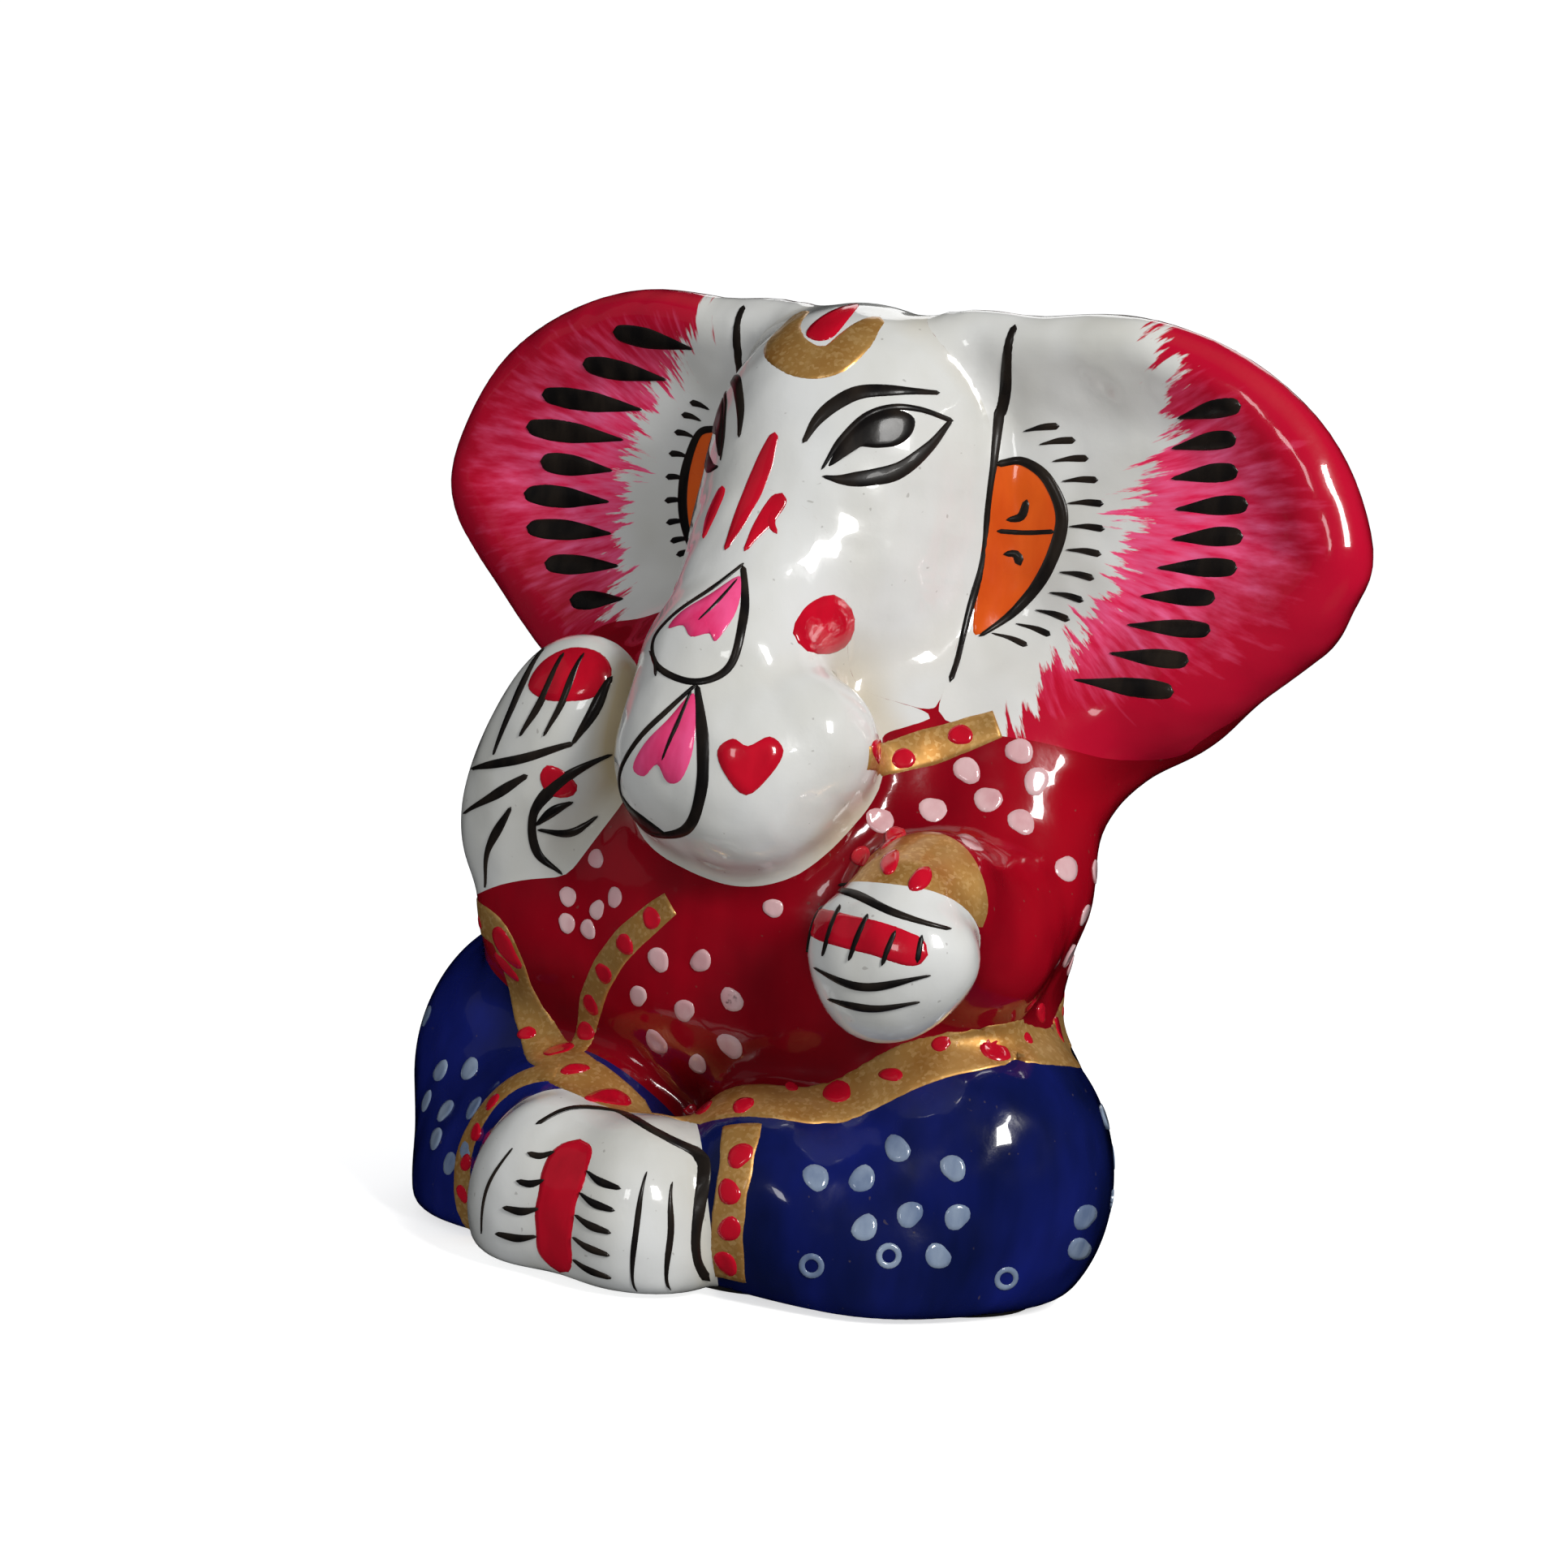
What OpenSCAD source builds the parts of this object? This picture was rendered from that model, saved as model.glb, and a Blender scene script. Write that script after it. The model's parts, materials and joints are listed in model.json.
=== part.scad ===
// Seated elephant-headed prayer figure, hand painted in enamel.
// The origin is at the centre of the underside, +Z is up and the figure faces -Y.

/* [Size] */
// Height of the figure
figure_h = 75; // [50:5:150]

/* [Head] */
// Width of the skull
head_w = 28; // [26:0.5:30]
// Height of the middle of the skull above the ground
head_z = 59.6; // [58:0.2:61]
// Distance from the middle of the figure to the tip of an ear
ear_reach = 42; // [38:0.5:46]
// Thickness of an ear at its rim
ear_t = 5.4; // [4:0.2:7]

/* [Body] */
// Width of the body at the waist
waist_w = 45; // [40:0.5:48]
// Distance from the middle of the figure to the side of a knee
knee_reach = 30.6; // [29:0.5:35]
// Height of a knee
knee_h = 21; // [18:0.5:24]

/* [Casting] */
// Wall thickness of the hollow pieces
wall = 3; // [2.4:0.2:4]
// Gap between two pieces where they are bonded
bond = 0.05; // [0.02:0.01:0.1]
// Thickness of the plate that closes the underside
plate_t = 1.2; // [0.8:0.2:2]

/* [Enamel] */
// Height of the raised enamel work
enamel_t = 0.4; // [0.3:0.05:0.6]
// Width of the gold borders
border_w = 4; // [3:0.2:5]
// Radius of the white dots
dot_r = 1.1; // [0.8:0.1:1.4]
// Number of black strokes on each ear
ear_strokes = 10; // [6:1:12]
// Number of short ticks round each ear opening
ear_ticks = 12; // [8:1:14]

/* [Hidden] */
base_h = 75;                    // height that the places below are written for
form_fn = 18;                   // facets round a modelled lump
knee_x = knee_reach - 11.5;     // middle of a knee
tall = 100;                     // longer than anything it cuts
white = [0.93, 0.92, 0.89];
red = [0.68, 0.03, 0.07];
blue = [0.05, 0.08, 0.36];
gold = [0.74, 0.52, 0.16];
black = [0.05, 0.04, 0.04];
pink = [0.86, 0.2, 0.4];
orange = [0.86, 0.33, 0.1];

// ---------- helpers ----------

// One rounded lump of modelled form, with its surface moved out by grow.
module lump(place, radii, turn = [0, 0, 0], grow = 0)
    translate(place) rotate(turn) scale(radii + [grow, grow, grow]) sphere(1, $fn = form_fn);

// A chain of balls, each blended into the next. Each ball is [place, radius].
module chain(balls, grow = 0)
    for (i = [0 : len(balls) - 2])
        hull()
            for (b = [balls[i], balls[i + 1]])
                translate(b[0]) sphere(b[1] + grow, $fn = 14);

// A node whose form is modelled by hand, in its paint colour.
module modelled(paint)
    color(paint) scale(figure_h / base_h) resize([0, 0, 0]) children();

module mirrored(side)
    scale([side, 1, 1]) children();

// Everything above the plate.
module above_plate()
    intersection() {
        children();
        translate([-tall, -tall, plate_t]) cube(2 * tall);
    }

// A closed smooth curve through the points, with n steps between two of them.
function smooth_loop(p, n = 2) =
    [for (i = [0 : len(p) - 1], k = [0 : n - 1])
        let (a = p[(i + len(p) - 1) % len(p)], b = p[i], c = p[(i + 1) % len(p)],
             d = p[(i + 2) % len(p)], t = k / n)
        0.5 * (2 * b + (c - a) * t + (2 * a - 5 * b + 4 * c - d) * t * t
               + (3 * b - a - 3 * c + d) * t * t * t)];

// A brush stroke from the origin along +X: thin at its start, full near its end.
module stroke(length, width)
    polygon([[0, 0], [length * 0.5, -width * 0.35], [length * 0.85, -width * 0.5], [length, 0],
             [length * 0.85, width * 0.5], [length * 0.5, width * 0.35]]);

// A line of even width through the points.
module brush_line(points, width)
    for (i = [0 : len(points) - 2])
        hull()
            for (p = [points[i], points[i + 1]])
                translate(p) circle(width / 2, $fn = 8);

// Pushes a flat outline through the surface that it is painted on. The outline's
// plane faces away from the place, turned round Z by side_turn and tipped up by rise.
module stamp(place, side_turn = 0, rise = 0, spin = 0)
    translate(place) rotate([0, 0, side_turn]) rotate([90 - rise, 0, 0]) rotate([0, 0, spin])
        linear_extrude(40) children();

// The raised skin of enamel where the outlines meet a form. The first child is the
// outlines, the second the form with the enamel on, and the third the bare form.
module enamel()
    difference() {
        intersection() {
            children(0);
            children(1);
        }
        children(2);
    }

// ---------- forms, each with its surface moved out by grow ----------

module head_form(grow = 0) {
    lump([0, 1.5, head_z], [head_w / 2 - 0.6, 13.2, 14], [0, 0, 0], grow);
    hull() {
        lump([0, -1, head_z + 2], [9.5, 10.5, 8], [0, 0, 0], grow);
        for (side = [-1, 1])
            lump([side * 4.4, -3.5, head_z - 8], [8.6, 9, 8.6], [0, 0, 0], grow);
    }
}

module trunk_form(grow = 0)
    chain([[[0, -7, 57], 6.8], [[0, -10, 51], 6.8], [[-0.4, -15, 44], 6.9], [[-0.4, -17.3, 37.2], 7],
           [[4.2, -17.8, 35.8], 6.5], [[7.6, -16.3, 39], 5.2]], grow);

// Outline of the left ear, going round from the top of the head.
function ear_outline() =
    let (r = ear_reach)
    [[7, 71.8], [14.4, 73.8], [22, 74.1], [29.4, 72.1], [r - 5.8, 68], [r - 1.8, 62], [r, 55.8],
     [r - 4, 50.6], [r - 9.6, 46.4], [25, 42.6], [18, 42.6], [11, 46], [7, 56]];

// Rings of the ear from the middle of its back, round its rim, to the middle of its dish:
// how much of the outline each spans, and how far in front of the ear's middle plane it is.
function ear_rings(t, grow) =
    [[0.02, -0.55 * t], [0.8, -0.5 * t], [0.95, -0.32 * t], [1, 0], [0.97, 0.34 * t],
     [0.9, 0.46 * t], [0.8, 0.38 * t], [0.6, 0.18 * t], [0.02, 0.04 * t]];

module left_ear_form(grow = 0) {
    outline = smooth_loop(ear_outline());
    middle = [23, 58];
    rings = ear_rings(ear_t, grow);
    n = len(outline);
    points = [for (i = [0 : len(rings) - 1], p = outline)
        let (arm = (p - middle) * rings[i][0], out = arm * (1 + grow / max(4, norm(arm))),
             at = middle + out, front = rings[i][1] + (rings[i][1] > 0 ? grow : -grow) * (i == 3 ? 0 : 1))
        [at[0], 0.8 + 0.1 * (at[0] - 13) - front, at[1]]];
    side_faces = [for (i = [0 : len(rings) - 2], k = [0 : n - 1])
        let (a = i * n + k, b = i * n + (k + 1) % n)
        each [[a, b, b + n], [a, b + n, a + n]]];
    back_face = [[for (k = [n - 1 : -1 : 0]) k]];
    front_face = [[for (k = [0 : n - 1]) (len(rings) - 1) * n + k]];
    polyhedron(points, concat(side_faces, back_face, front_face));
}

module torso_form(grow = 0) {
    lump([0, -1.5, 27], [waist_w / 2, 17.5, 17], [0, 0, 0], grow);
    lump([0, 1.5, 39], [20, 12.5, 12], [0, 0, 0], grow);
    for (side = [-1, 1])
        chain([[[side * 18, 3.5, 40], 6], [[side * 27.5, 5, 48], 3.4]], grow);
}

module leg_form(side, grow = 0)
    mirrored(side) {
        hull() {
            lump([12, 4, 8.5], [11.5, 12, 12], [0, 0, 0], grow);
            lump([knee_x, -5.5, 8.8], [11.5, 11.5, knee_h - 8.8], [0, 0, 0], grow);
        }
        hull() {
            lump([knee_x - 2.3, -9, 3.2], [10.5, 10.5, 9], [0, 0, 0], grow);
            lump([9, -15.8, 6.8], [8.8, 8.4, 8.4], [0, 0, 0], grow);
        }
    }

module feet_form(grow = 0)
    hull() {
        lump([-5, -21, 5.4], [6.3, 6.6, 7.2], [0, 0, 0], grow);
        lump([2.6, -21.6, 5], [6.3, 6.6, 7], [0, 0, 0], grow);
    }

module left_sleeve_form(grow = 0)
    chain([[[18, 1, 41], 6], [[20, -3, 31], 6.3], [[20.5, -9, 28], 6], [[19.5, -14, 31], 5.6]], grow);

module right_sleeve_form(grow = 0)
    chain([[[-18, 1, 41], 6], [[-19, -6, 31], 6.3], [[-15, -13, 24], 5.6], [[-17.5, -13.5, 29.5], 5.6]],
          grow);

module left_cuff_form(grow = 0)
    chain([[[18.8, -15, 31.2], 5.2], [[19, -17.6, 30.4], 4.8]], grow);

module left_hand_form(grow = 0) {
    lump([19.3, -20, 26.4], [6.7, 5, 5.8], [0, 0, 8], grow);
    lump([18.8, -18.6, 24], [4.6, 4.6, 3.6], [0, 0, 0], grow);
}

module right_hand_form(grow = 0)
    hull() {
        lump([-14.4, -14.5, 40.4], [5.8, 4, 6], [0, 22, 0], grow);
        lump([-17.4, -14.5, 32.6], [6.2, 4.6, 7.4], [0, 22, 0], grow);
    }

// ---------- pieces ----------

module base_plate()
    color(black) scale(figure_h / base_h)
        linear_extrude(plate_t)
            hull()
                for (side = [-1, 1]) {
                    translate([side * 10, 6]) circle(9, $fn = 48);
                    translate([side * (knee_x - 1), -6.5]) circle(7, $fn = 48);
                    translate([side * 7, -15]) circle(5, $fn = 48);
                }

module torso()
    modelled(red) above_plate() difference() {
        union() {
            torso_form();
            translate([0, 1, 44]) cylinder(r = 6, h = 10, $fn = 32);
        }
        torso_form(-wall);
        translate([0, 1, 30]) cylinder(r = 4, h = 30, $fn = 32);
        leg_form(1, bond);
        leg_form(-1, bond);
        left_sleeve_form(bond);
        right_sleeve_form(bond);
        trunk_form(bond);
        difference() {
            head_form(bond);
            translate([0, 1, 40]) cylinder(r = 6, h = 20, $fn = 32);
        }
        for (side = [-1, 1])
            mirrored(side) left_ear_form(4 * bond);
    }

module leg(side)
    modelled(blue) above_plate() difference() {
        intersection() {
            leg_form(side);
            translate([side > 0 ? bond : -tall - bond, -tall / 2, 0]) cube(tall);
        }
        leg_form(side, -wall);
        feet_form(bond);
    }

module feet()
    modelled(white) difference() {
        feet_form();
        translate([-tall, -tall, -2 * tall]) cube(2 * tall);
        translate([-tall, -19.6, -1]) cube([2 * tall, tall, plate_t + 1]);
    }

module sleeve(paint)
    modelled(paint) difference() {
        children(0);
        head_form(bond);
        trunk_form(bond);
        children(1);
        leg_form(1, bond);
        leg_form(-1, bond);
    }

module left_sleeve()
    sleeve(red) {
        left_sleeve_form();
        union() {
            left_cuff_form(bond);
            left_hand_form(bond);
            left_ear_form(bond);
        }
    }

module right_sleeve()
    sleeve(red) {
        right_sleeve_form();
        union() {
            right_hand_form(bond);
            mirrored(-1) left_ear_form(bond);
        }
    }

module left_cuff()
    modelled(gold) difference() {
        left_cuff_form();
        left_hand_form(bond);
    }

module left_hand()
    modelled(white) left_hand_form();

module right_hand()
    modelled(white) difference() {
        right_hand_form();
        trunk_form(bond);
    }

module head()
    modelled(white) difference() {
        head_form();
        head_form(-wall);
        translate([0, 1, 40]) cylinder(r = 6 + bond, h = 20, $fn = 32);
        trunk_form(bond);
    }

module trunk()
    modelled(white) trunk_form();

module ear(side)
    modelled(pink) difference() {
        mirrored(side) left_ear_form();
        head_form(bond);
        trunk_form(bond);
    }

// ---------- gold borders ----------

module body_form(grow = 0) {
    torso_form(grow);
    leg_form(1, grow);
    leg_form(-1, grow);
    left_sleeve_form(grow);
    right_sleeve_form(grow);
}

module tunic_form(grow = 0) {
    torso_form(grow);
    left_sleeve_form(grow);
    right_sleeve_form(grow);
}

module in_front_of_tunic() {
    head_form(bond);
    trunk_form(bond);
    left_hand_form(bond);
    left_cuff_form(bond);
    right_hand_form(bond);
}

// Height of the middle of the waist border, by angle round the body from its front.
function waist_z(a) =
    lookup(a, [[-180, 21.5], [-95, 22], [-62, 21.5], [-38, 18], [-20, 14.4], [0, 14.6], [20, 14.8],
               [48, 18.4], [75, 20.8], [180, 21.5]]);

// A wavy ring that cuts the waist border out of the body's surface.
module waist_ring(width) {
    step = 10;
    angles = [-180 : step : 170];
    rings = [[0, -1], [0, 1], [60, 1], [60, -1]];
    n = 360 / step;
    points = [for (r = rings, a = angles)
        let (reach = max(r[0], 0.5))
        [reach * sin(a), 2 - reach * cos(a), waist_z(a) + r[1] * width / 2]];
    polyhedron(points, [for (i = [0 : 3], k = [0 : n - 1])
        let (a = i * n + k, b = i * n + (k + 1) % n, c = ((i + 1) % 4) * n + k,
             d = ((i + 1) % 4) * n + (k + 1) % n)
        each [[a, d, c], [a, b, d]]]);
}

module waist_border()
    modelled(gold) difference() {
        enamel() { waist_ring(border_w); body_form(enamel_t); body_form(); }
        feet_form(bond);
        in_front_of_tunic();
    }

module hem_border(side)
    modelled(gold) difference() {
        intersection() {
            enamel() { feet_form(border_w - 1.4); leg_form(side, enamel_t); leg_form(side); }
            translate([side > 0 ? bond : -tall - 4, -tall, plate_t]) cube([tall, 2 * tall, 11]);
        }
        feet_form(bond);
        waist_ring(border_w + bond);
        leg_form(-side);
    }

module strip_on_tunic(points, width)
    modelled(gold) difference() {
        enamel() {
            stamp([0, -6, 0]) brush_line(points, width);
            tunic_form(enamel_t);
            tunic_form();
        }
        in_front_of_tunic();
        waist_ring(border_w + bond);
        left_ear_form(bond);
    }

module sleeve_border()
    strip_on_tunic([[-7.4, 17.6], [-6.4, 20.6], [-3.6, 24.6], [0.6, 27.8]], border_w - 1);

module collar_border()
    strip_on_tunic([[9.5, 39.2], [15, 41.2], [21, 43.2]], border_w - 1.2);

// ---------- ear enamel ----------

// Presses flat outlines in x and z onto the front of the left ear.
module on_left_ear()
    enamel() {
        translate([0, 2.2, 0]) rotate([90, 0, 0]) linear_extrude(40) children();
        left_ear_form(enamel_t);
        left_ear_form();
    }

// Outlines set round the middle of the ear opening, from above it to below it.
module round_opening(count, reach, first, last)
    for (i = [0 : count - 1])
        let (a = first + (last - first) * i / (count - 1))
            translate([11.5, 57]) rotate(a) translate([reach + (a > 0 ? a / 30 : 0), 0]) children();

module ear_opening(side)
    modelled(orange) mirrored(side) difference() {
        on_left_ear()
            intersection() {
                translate([10.5, 56.5]) scale([1.15, 1]) circle(6.4, $fn = 24);
                translate([13, 40]) square(40);
            }
        head_form(bond);
    }

module ticks(side)
    modelled(black) mirrored(side) difference() {
        on_left_ear() round_opening(ear_ticks, 8.6, 74, -64) stroke(2.6, 0.9);
        head_form(bond);
    }

module strokes(side)
    modelled(black) mirrored(side)
        on_left_ear()
            for (i = [0 : ear_strokes - 1])
                let (a = 38 - 80 * i / (ear_strokes - 1))
                    translate([11, 56.5]) rotate(a) translate([15.6, 0]) rotate(-a * 0.55) stroke(5.2, 1.5);

// ---------- face enamel ----------

module on_head(place, side_turn = 0, rise = 0, spin = 0)
    difference() {
        enamel() {
            stamp(place, side_turn, rise, spin) children();
            head_form(enamel_t);
            head_form();
        }
        trunk_form(bond);
    }

module on_trunk(place, side_turn = 0, rise = 0, spin = 0)
    enamel() {
        stamp(place, side_turn, rise, spin) children();
        trunk_form(enamel_t);
        trunk_form();
    }

module both_sides()
    for (side = [-1, 1])
        mirrored(side) children();

module temple_lines()
    modelled(black) both_sides()
        enamel() {
            translate([0, 2, 0]) rotate([90, 0, 0]) linear_extrude(40)
                brush_line([[12, 72], [13.4, 66], [14, 60], [13.6, 52], [12.6, 46]], 0.7);
            union() { left_ear_form(enamel_t); head_form(enamel_t); }
            union() { left_ear_form(); head_form(); }
        }

module eyes()
    modelled(black) both_sides() on_head([6, -6, 63.6], 32, 4, 16) {
        difference() {
            translate([0, -2.4]) circle(6, $fn = 24);
            translate([0, -3.1]) circle(6.1, $fn = 24);
            translate([-10, -20]) square([20, 18.6]);
        }
        difference() {
            translate([0, 2]) circle(6, $fn = 24);
            translate([0, 2.9]) circle(6.2, $fn = 24);
            translate([-10, -1.4]) square([20, 20]);
        }
        translate([0.2, 0.6]) scale([1.5, 1]) circle(1.7, $fn = 14);
    }

module brows()
    modelled(black) both_sides() on_head([4, -5, 62.4], 26, 8, 8)
        brush_line([[-4.2, 1], [-2.4, 3.6], [0, 5], [3, 5.4], [6, 5]], 0.8);

module forehead_mark()
    modelled(gold) on_head([0, 0, 64], 0, 28)
        difference() {
            scale([1, 0.95]) circle(5, $fn = 24);
            translate([0.3, 1.4]) scale([0.7, 1.3]) circle(3, $fn = 20);
            translate([-10, 3.6]) square(20);
        }

module forehead_drop()
    modelled(red) on_head([0, 0, 64], 0, 28)
        translate([0.3, 1.2]) hull() {
            circle(1.5, $fn = 14);
            translate([0.4, 3]) circle(0.4, $fn = 8);
        }

module nose_strokes()
    modelled(red) on_trunk([0, -6, 57], 0, 12) {
        translate([0, 4]) rotate(-90) stroke(8, 1.8);
        translate([1.2, 0.4]) rotate(-80) stroke(4.4, 1.5);
        translate([-1.2, 0.4]) rotate(-100) stroke(4.4, 1.5);
    }

module petal(size)
    hull() {
        circle(size, $fn = 18);
        translate([0.3 * size, 2.2 * size]) circle(0.3, $fn = 6);
    }

module at_petals() {
    on_trunk([0, -13, 46], 4, 18) children(0);
    on_trunk([-0.5, -13, 36.5], 8, -6) children(1);
}

module trunk_outlines()
    modelled(black) at_petals() {
        difference() { petal(2.9); petal(2.3); }
        difference() { petal(3.4); petal(2.7); }
    }

module trunk_petals()
    modelled(pink) at_petals() {
        intersection() { petal(1.9); translate([-5, 0]) square(20); }
        intersection() { petal(2.3); translate([-5, 0.2]) square(20); }
    }

module cheek_spots()
    modelled(red) both_sides() on_head([4.2, -5, 49.9], 30, -8) circle(2.3, $fn = 18);

module trunk_tip_spot()
    modelled(red) on_trunk([4.2, -14, 38.4], 22, 8)
        hull() {
            translate([-1.5, 1.1]) circle(1.3, $fn = 12);
            translate([1.5, 1.1]) circle(1.3, $fn = 12);
            translate([0, -2]) circle(0.4, $fn = 8);
        }

// ---------- hand and foot enamel ----------

module right_palm_marks()
    modelled(black) difference() {
        enamel() {
            stamp([-15, -12, 36], -10, 0, -22) {
                for (i = [0 : 3])
                    translate([2.7 * i - 4.4, 2.6]) rotate(90) stroke(5.6, 0.8);
                brush_line([[-5, 0.4], [0, 0.6], [5, 2.2]], 0.7);
                brush_line([[-5, -3], [0, -1.4], [4, 1.2]], 0.7);
                brush_line([[-1.6, -8], [0, -4], [3.4, -1]], 0.7);
            }
            right_hand_form(enamel_t);
            right_hand_form();
        }
        trunk_form(bond);
    }

module left_palm_marks()
    modelled(black)
        enamel() {
            stamp([19.4, -17, 26.6], 12, 0, -8) {
                for (i = [0 : 3])
                    translate([2 * i - 3.6, 3.2]) rotate(-98) stroke(3.4, 0.8);
                brush_line([[-3.6, -1.2], [-0.6, -1.9], [4.4, -0.8]], 0.7);
                brush_line([[-3, -2.8], [0, -3.5], [3.6, -2.6]], 0.6);
            }
            left_hand_form(enamel_t);
            left_hand_form();
        }

module sole_marks()
    modelled(red) enamel() {
        stamp([-1.4, -20, 6.2], 0, 10)
            hull() {
                translate([0, 2.6]) circle(2.2, $fn = 16);
                translate([-0.6, -4.4]) circle(1.7, $fn = 16);
            }
        feet_form(enamel_t);
        feet_form();
    }

module toe_marks()
    modelled(black) enamel() {
        stamp([-1.4, -20, 6.2], 0, 10) {
            for (i = [0 : 3]) {
                translate([5, 2.6 - 2 * i]) rotate(180) stroke(2.6, 0.8);
                translate([-5.4, 2.8 - 2 * i]) stroke(2.4, 0.8);
            }
            for (x = [6.2, 8])
                translate([x, 3.4]) rotate(-93) stroke(8, 0.7);
        }
        feet_form(enamel_t);
        feet_form();
    }

// ---------- dots ----------

// A middle dot with others round it.
module rosette(reach, count = 6) {
    circle(dot_r, $fn = 7);
    for (i = [0 : count - 1])
        rotate(360 * i / count + 12) translate([reach, 0]) circle(dot_r, $fn = 7);
}

module dots_at(places)
    for (p = places)
        translate(p) circle(dot_r, $fn = 7);

module tunic_dots()
    modelled(white) difference() {
        enamel() {
            union() {
                stamp([0, -6, 0]) {
                    translate([1.2, 20]) rosette(3.1, 7);
                    translate([-8.4, 25.8]) rosette(2.6, 5);
                    dots_at([[7.6, 28.4], [11.5, 19.6]]);
                }
                stamp([12, 0, 37], 40) {
                    translate([5, 0.4]) rosette(3.4, 6);
                    dots_at([[0.4, -3.4], [6, -8]]);
                }
                stamp([0, 6, 0], 180) {
                    translate([0, 34]) rosette(3.6, 6);
                    dots_at([[-13, 39], [13, 39], [-11, 29], [11, 29]]);
                }
            }
            tunic_form(enamel_t);
            tunic_form();
        }
        in_front_of_tunic();
        waist_ring(border_w + 1);
        both_sides() left_ear_form(bond);
    }

module leg_dots()
    modelled(white) difference() {
        enamel() {
            both_sides() {
                stamp([14, -6, 8], 28) {
                    translate([2.4, 0.4]) rosette(3.6, 6);
                    dots_at([[-4.4, 1.4], [-4, -4.4], [10, -3.4]]);
                }
                stamp([14, 4, 10], 140) rosette(3.8, 6);
            }
            union() { leg_form(1, enamel_t); leg_form(-1, enamel_t); }
            union() { leg_form(1); leg_form(-1); torso_form(); }
        }
        waist_ring(border_w + 1);
        feet_form(border_w);
    }

module border_dots()
    modelled(red) difference() {
        enamel() {
            for (a = [-50 : 12 : 90])
                translate([0, 2, waist_z(a)]) rotate([0, 0, a]) rotate([90, 0, 0])
                    linear_extrude(40) circle(0.9, $fn = 8);
            body_form(enamel_t * 1.8);
            body_form(enamel_t);
        }
        feet_form(bond);
        in_front_of_tunic();
    }

// ---------- drawing ----------

base_plate();
torso();
leg(1);  // left_leg
leg(-1);  // right_leg
feet();
left_sleeve();
right_sleeve();
left_cuff();
left_hand();
right_hand();
head();
trunk();
ear(1);  // left_ear
ear(-1);  // right_ear
waist_border();
hem_border(1);  // left_hem_border
hem_border(-1);  // right_hem_border
sleeve_border();
collar_border();
ear_opening(1);  // left_ear_opening
ear_opening(-1);  // right_ear_opening
ticks(1);  // left_ear_ticks
ticks(-1);  // right_ear_ticks
strokes(1);  // left_ear_strokes
strokes(-1);  // right_ear_strokes
temple_lines();
eyes();
brows();
forehead_mark();
forehead_drop();
nose_strokes();
trunk_petals();
trunk_outlines();
cheek_spots();
trunk_tip_spot();
right_palm_marks();
left_palm_marks();
sole_marks();
toe_marks();
tunic_dots();
leg_dots();
border_dots();
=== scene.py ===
"""Seated elephant-headed prayer figure: one hollow casting, hand painted in glossy enamel.

The casting is modelled as a distance field in millimetres, meshed once, and cut into its pieces where
the paint changes. Every brush mark is a thin solid of its own that follows the casting's surface.
"""

import json
import math

import bmesh
import bpy
import numpy as np
from mathutils import Matrix, Vector
from mathutils.bvhtree import BVHTree


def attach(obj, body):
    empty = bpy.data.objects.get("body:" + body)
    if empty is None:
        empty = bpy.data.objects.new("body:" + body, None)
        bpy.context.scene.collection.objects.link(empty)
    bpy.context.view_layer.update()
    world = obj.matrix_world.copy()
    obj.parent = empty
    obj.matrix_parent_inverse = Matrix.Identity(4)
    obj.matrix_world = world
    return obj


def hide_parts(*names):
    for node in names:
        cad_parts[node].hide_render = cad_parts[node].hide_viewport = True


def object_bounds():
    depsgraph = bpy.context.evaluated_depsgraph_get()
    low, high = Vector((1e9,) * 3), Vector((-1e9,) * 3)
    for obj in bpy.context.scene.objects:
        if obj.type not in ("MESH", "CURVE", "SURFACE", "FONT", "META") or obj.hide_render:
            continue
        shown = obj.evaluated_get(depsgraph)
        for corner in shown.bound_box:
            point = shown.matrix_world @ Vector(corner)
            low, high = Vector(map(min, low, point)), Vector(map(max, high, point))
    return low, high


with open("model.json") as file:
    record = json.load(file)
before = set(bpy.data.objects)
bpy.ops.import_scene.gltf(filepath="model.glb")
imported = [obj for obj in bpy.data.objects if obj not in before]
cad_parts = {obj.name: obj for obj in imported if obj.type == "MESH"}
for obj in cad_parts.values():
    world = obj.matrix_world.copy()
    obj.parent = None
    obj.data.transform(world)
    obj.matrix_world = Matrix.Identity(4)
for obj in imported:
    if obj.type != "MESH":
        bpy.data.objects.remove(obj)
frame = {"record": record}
cad_box = [list(corner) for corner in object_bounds()]

MM = 0.001
BODY = "root"
STEP = 0.6  # grid step of the casting's mesh


# ---------- camera and small helpers ----------


def make_camera():
    """A camera about 31 degrees round to the figure's left and 5 up, with a slight roll."""
    azimuth, elevation, roll = (math.radians(a) for a in (31.0, 5.0, 5.5))
    back = Vector((math.sin(azimuth) * math.cos(elevation), -math.cos(azimuth) * math.cos(elevation),
                   math.sin(elevation)))
    level = Vector((math.cos(azimuth), math.sin(azimuth), 0))
    above = back.cross(level)
    right = level * math.cos(roll) + above * math.sin(roll)
    up = above * math.cos(roll) - level * math.sin(roll)
    centre = Vector((0, 0, 37)) + back * 276 + level * -2.6 + above * -1.3
    data = bpy.data.cameras.new("camera")
    data.sensor_width = 36
    data.lens = 81
    data.clip_start = 0.01
    camera = bpy.data.objects.new("camera", data)
    turn = Matrix((right, up, back)).transposed().to_4x4()
    camera.matrix_world = Matrix.Translation(centre * MM) @ turn
    bpy.context.collection.objects.link(camera)
    bpy.context.scene.camera = camera


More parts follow.
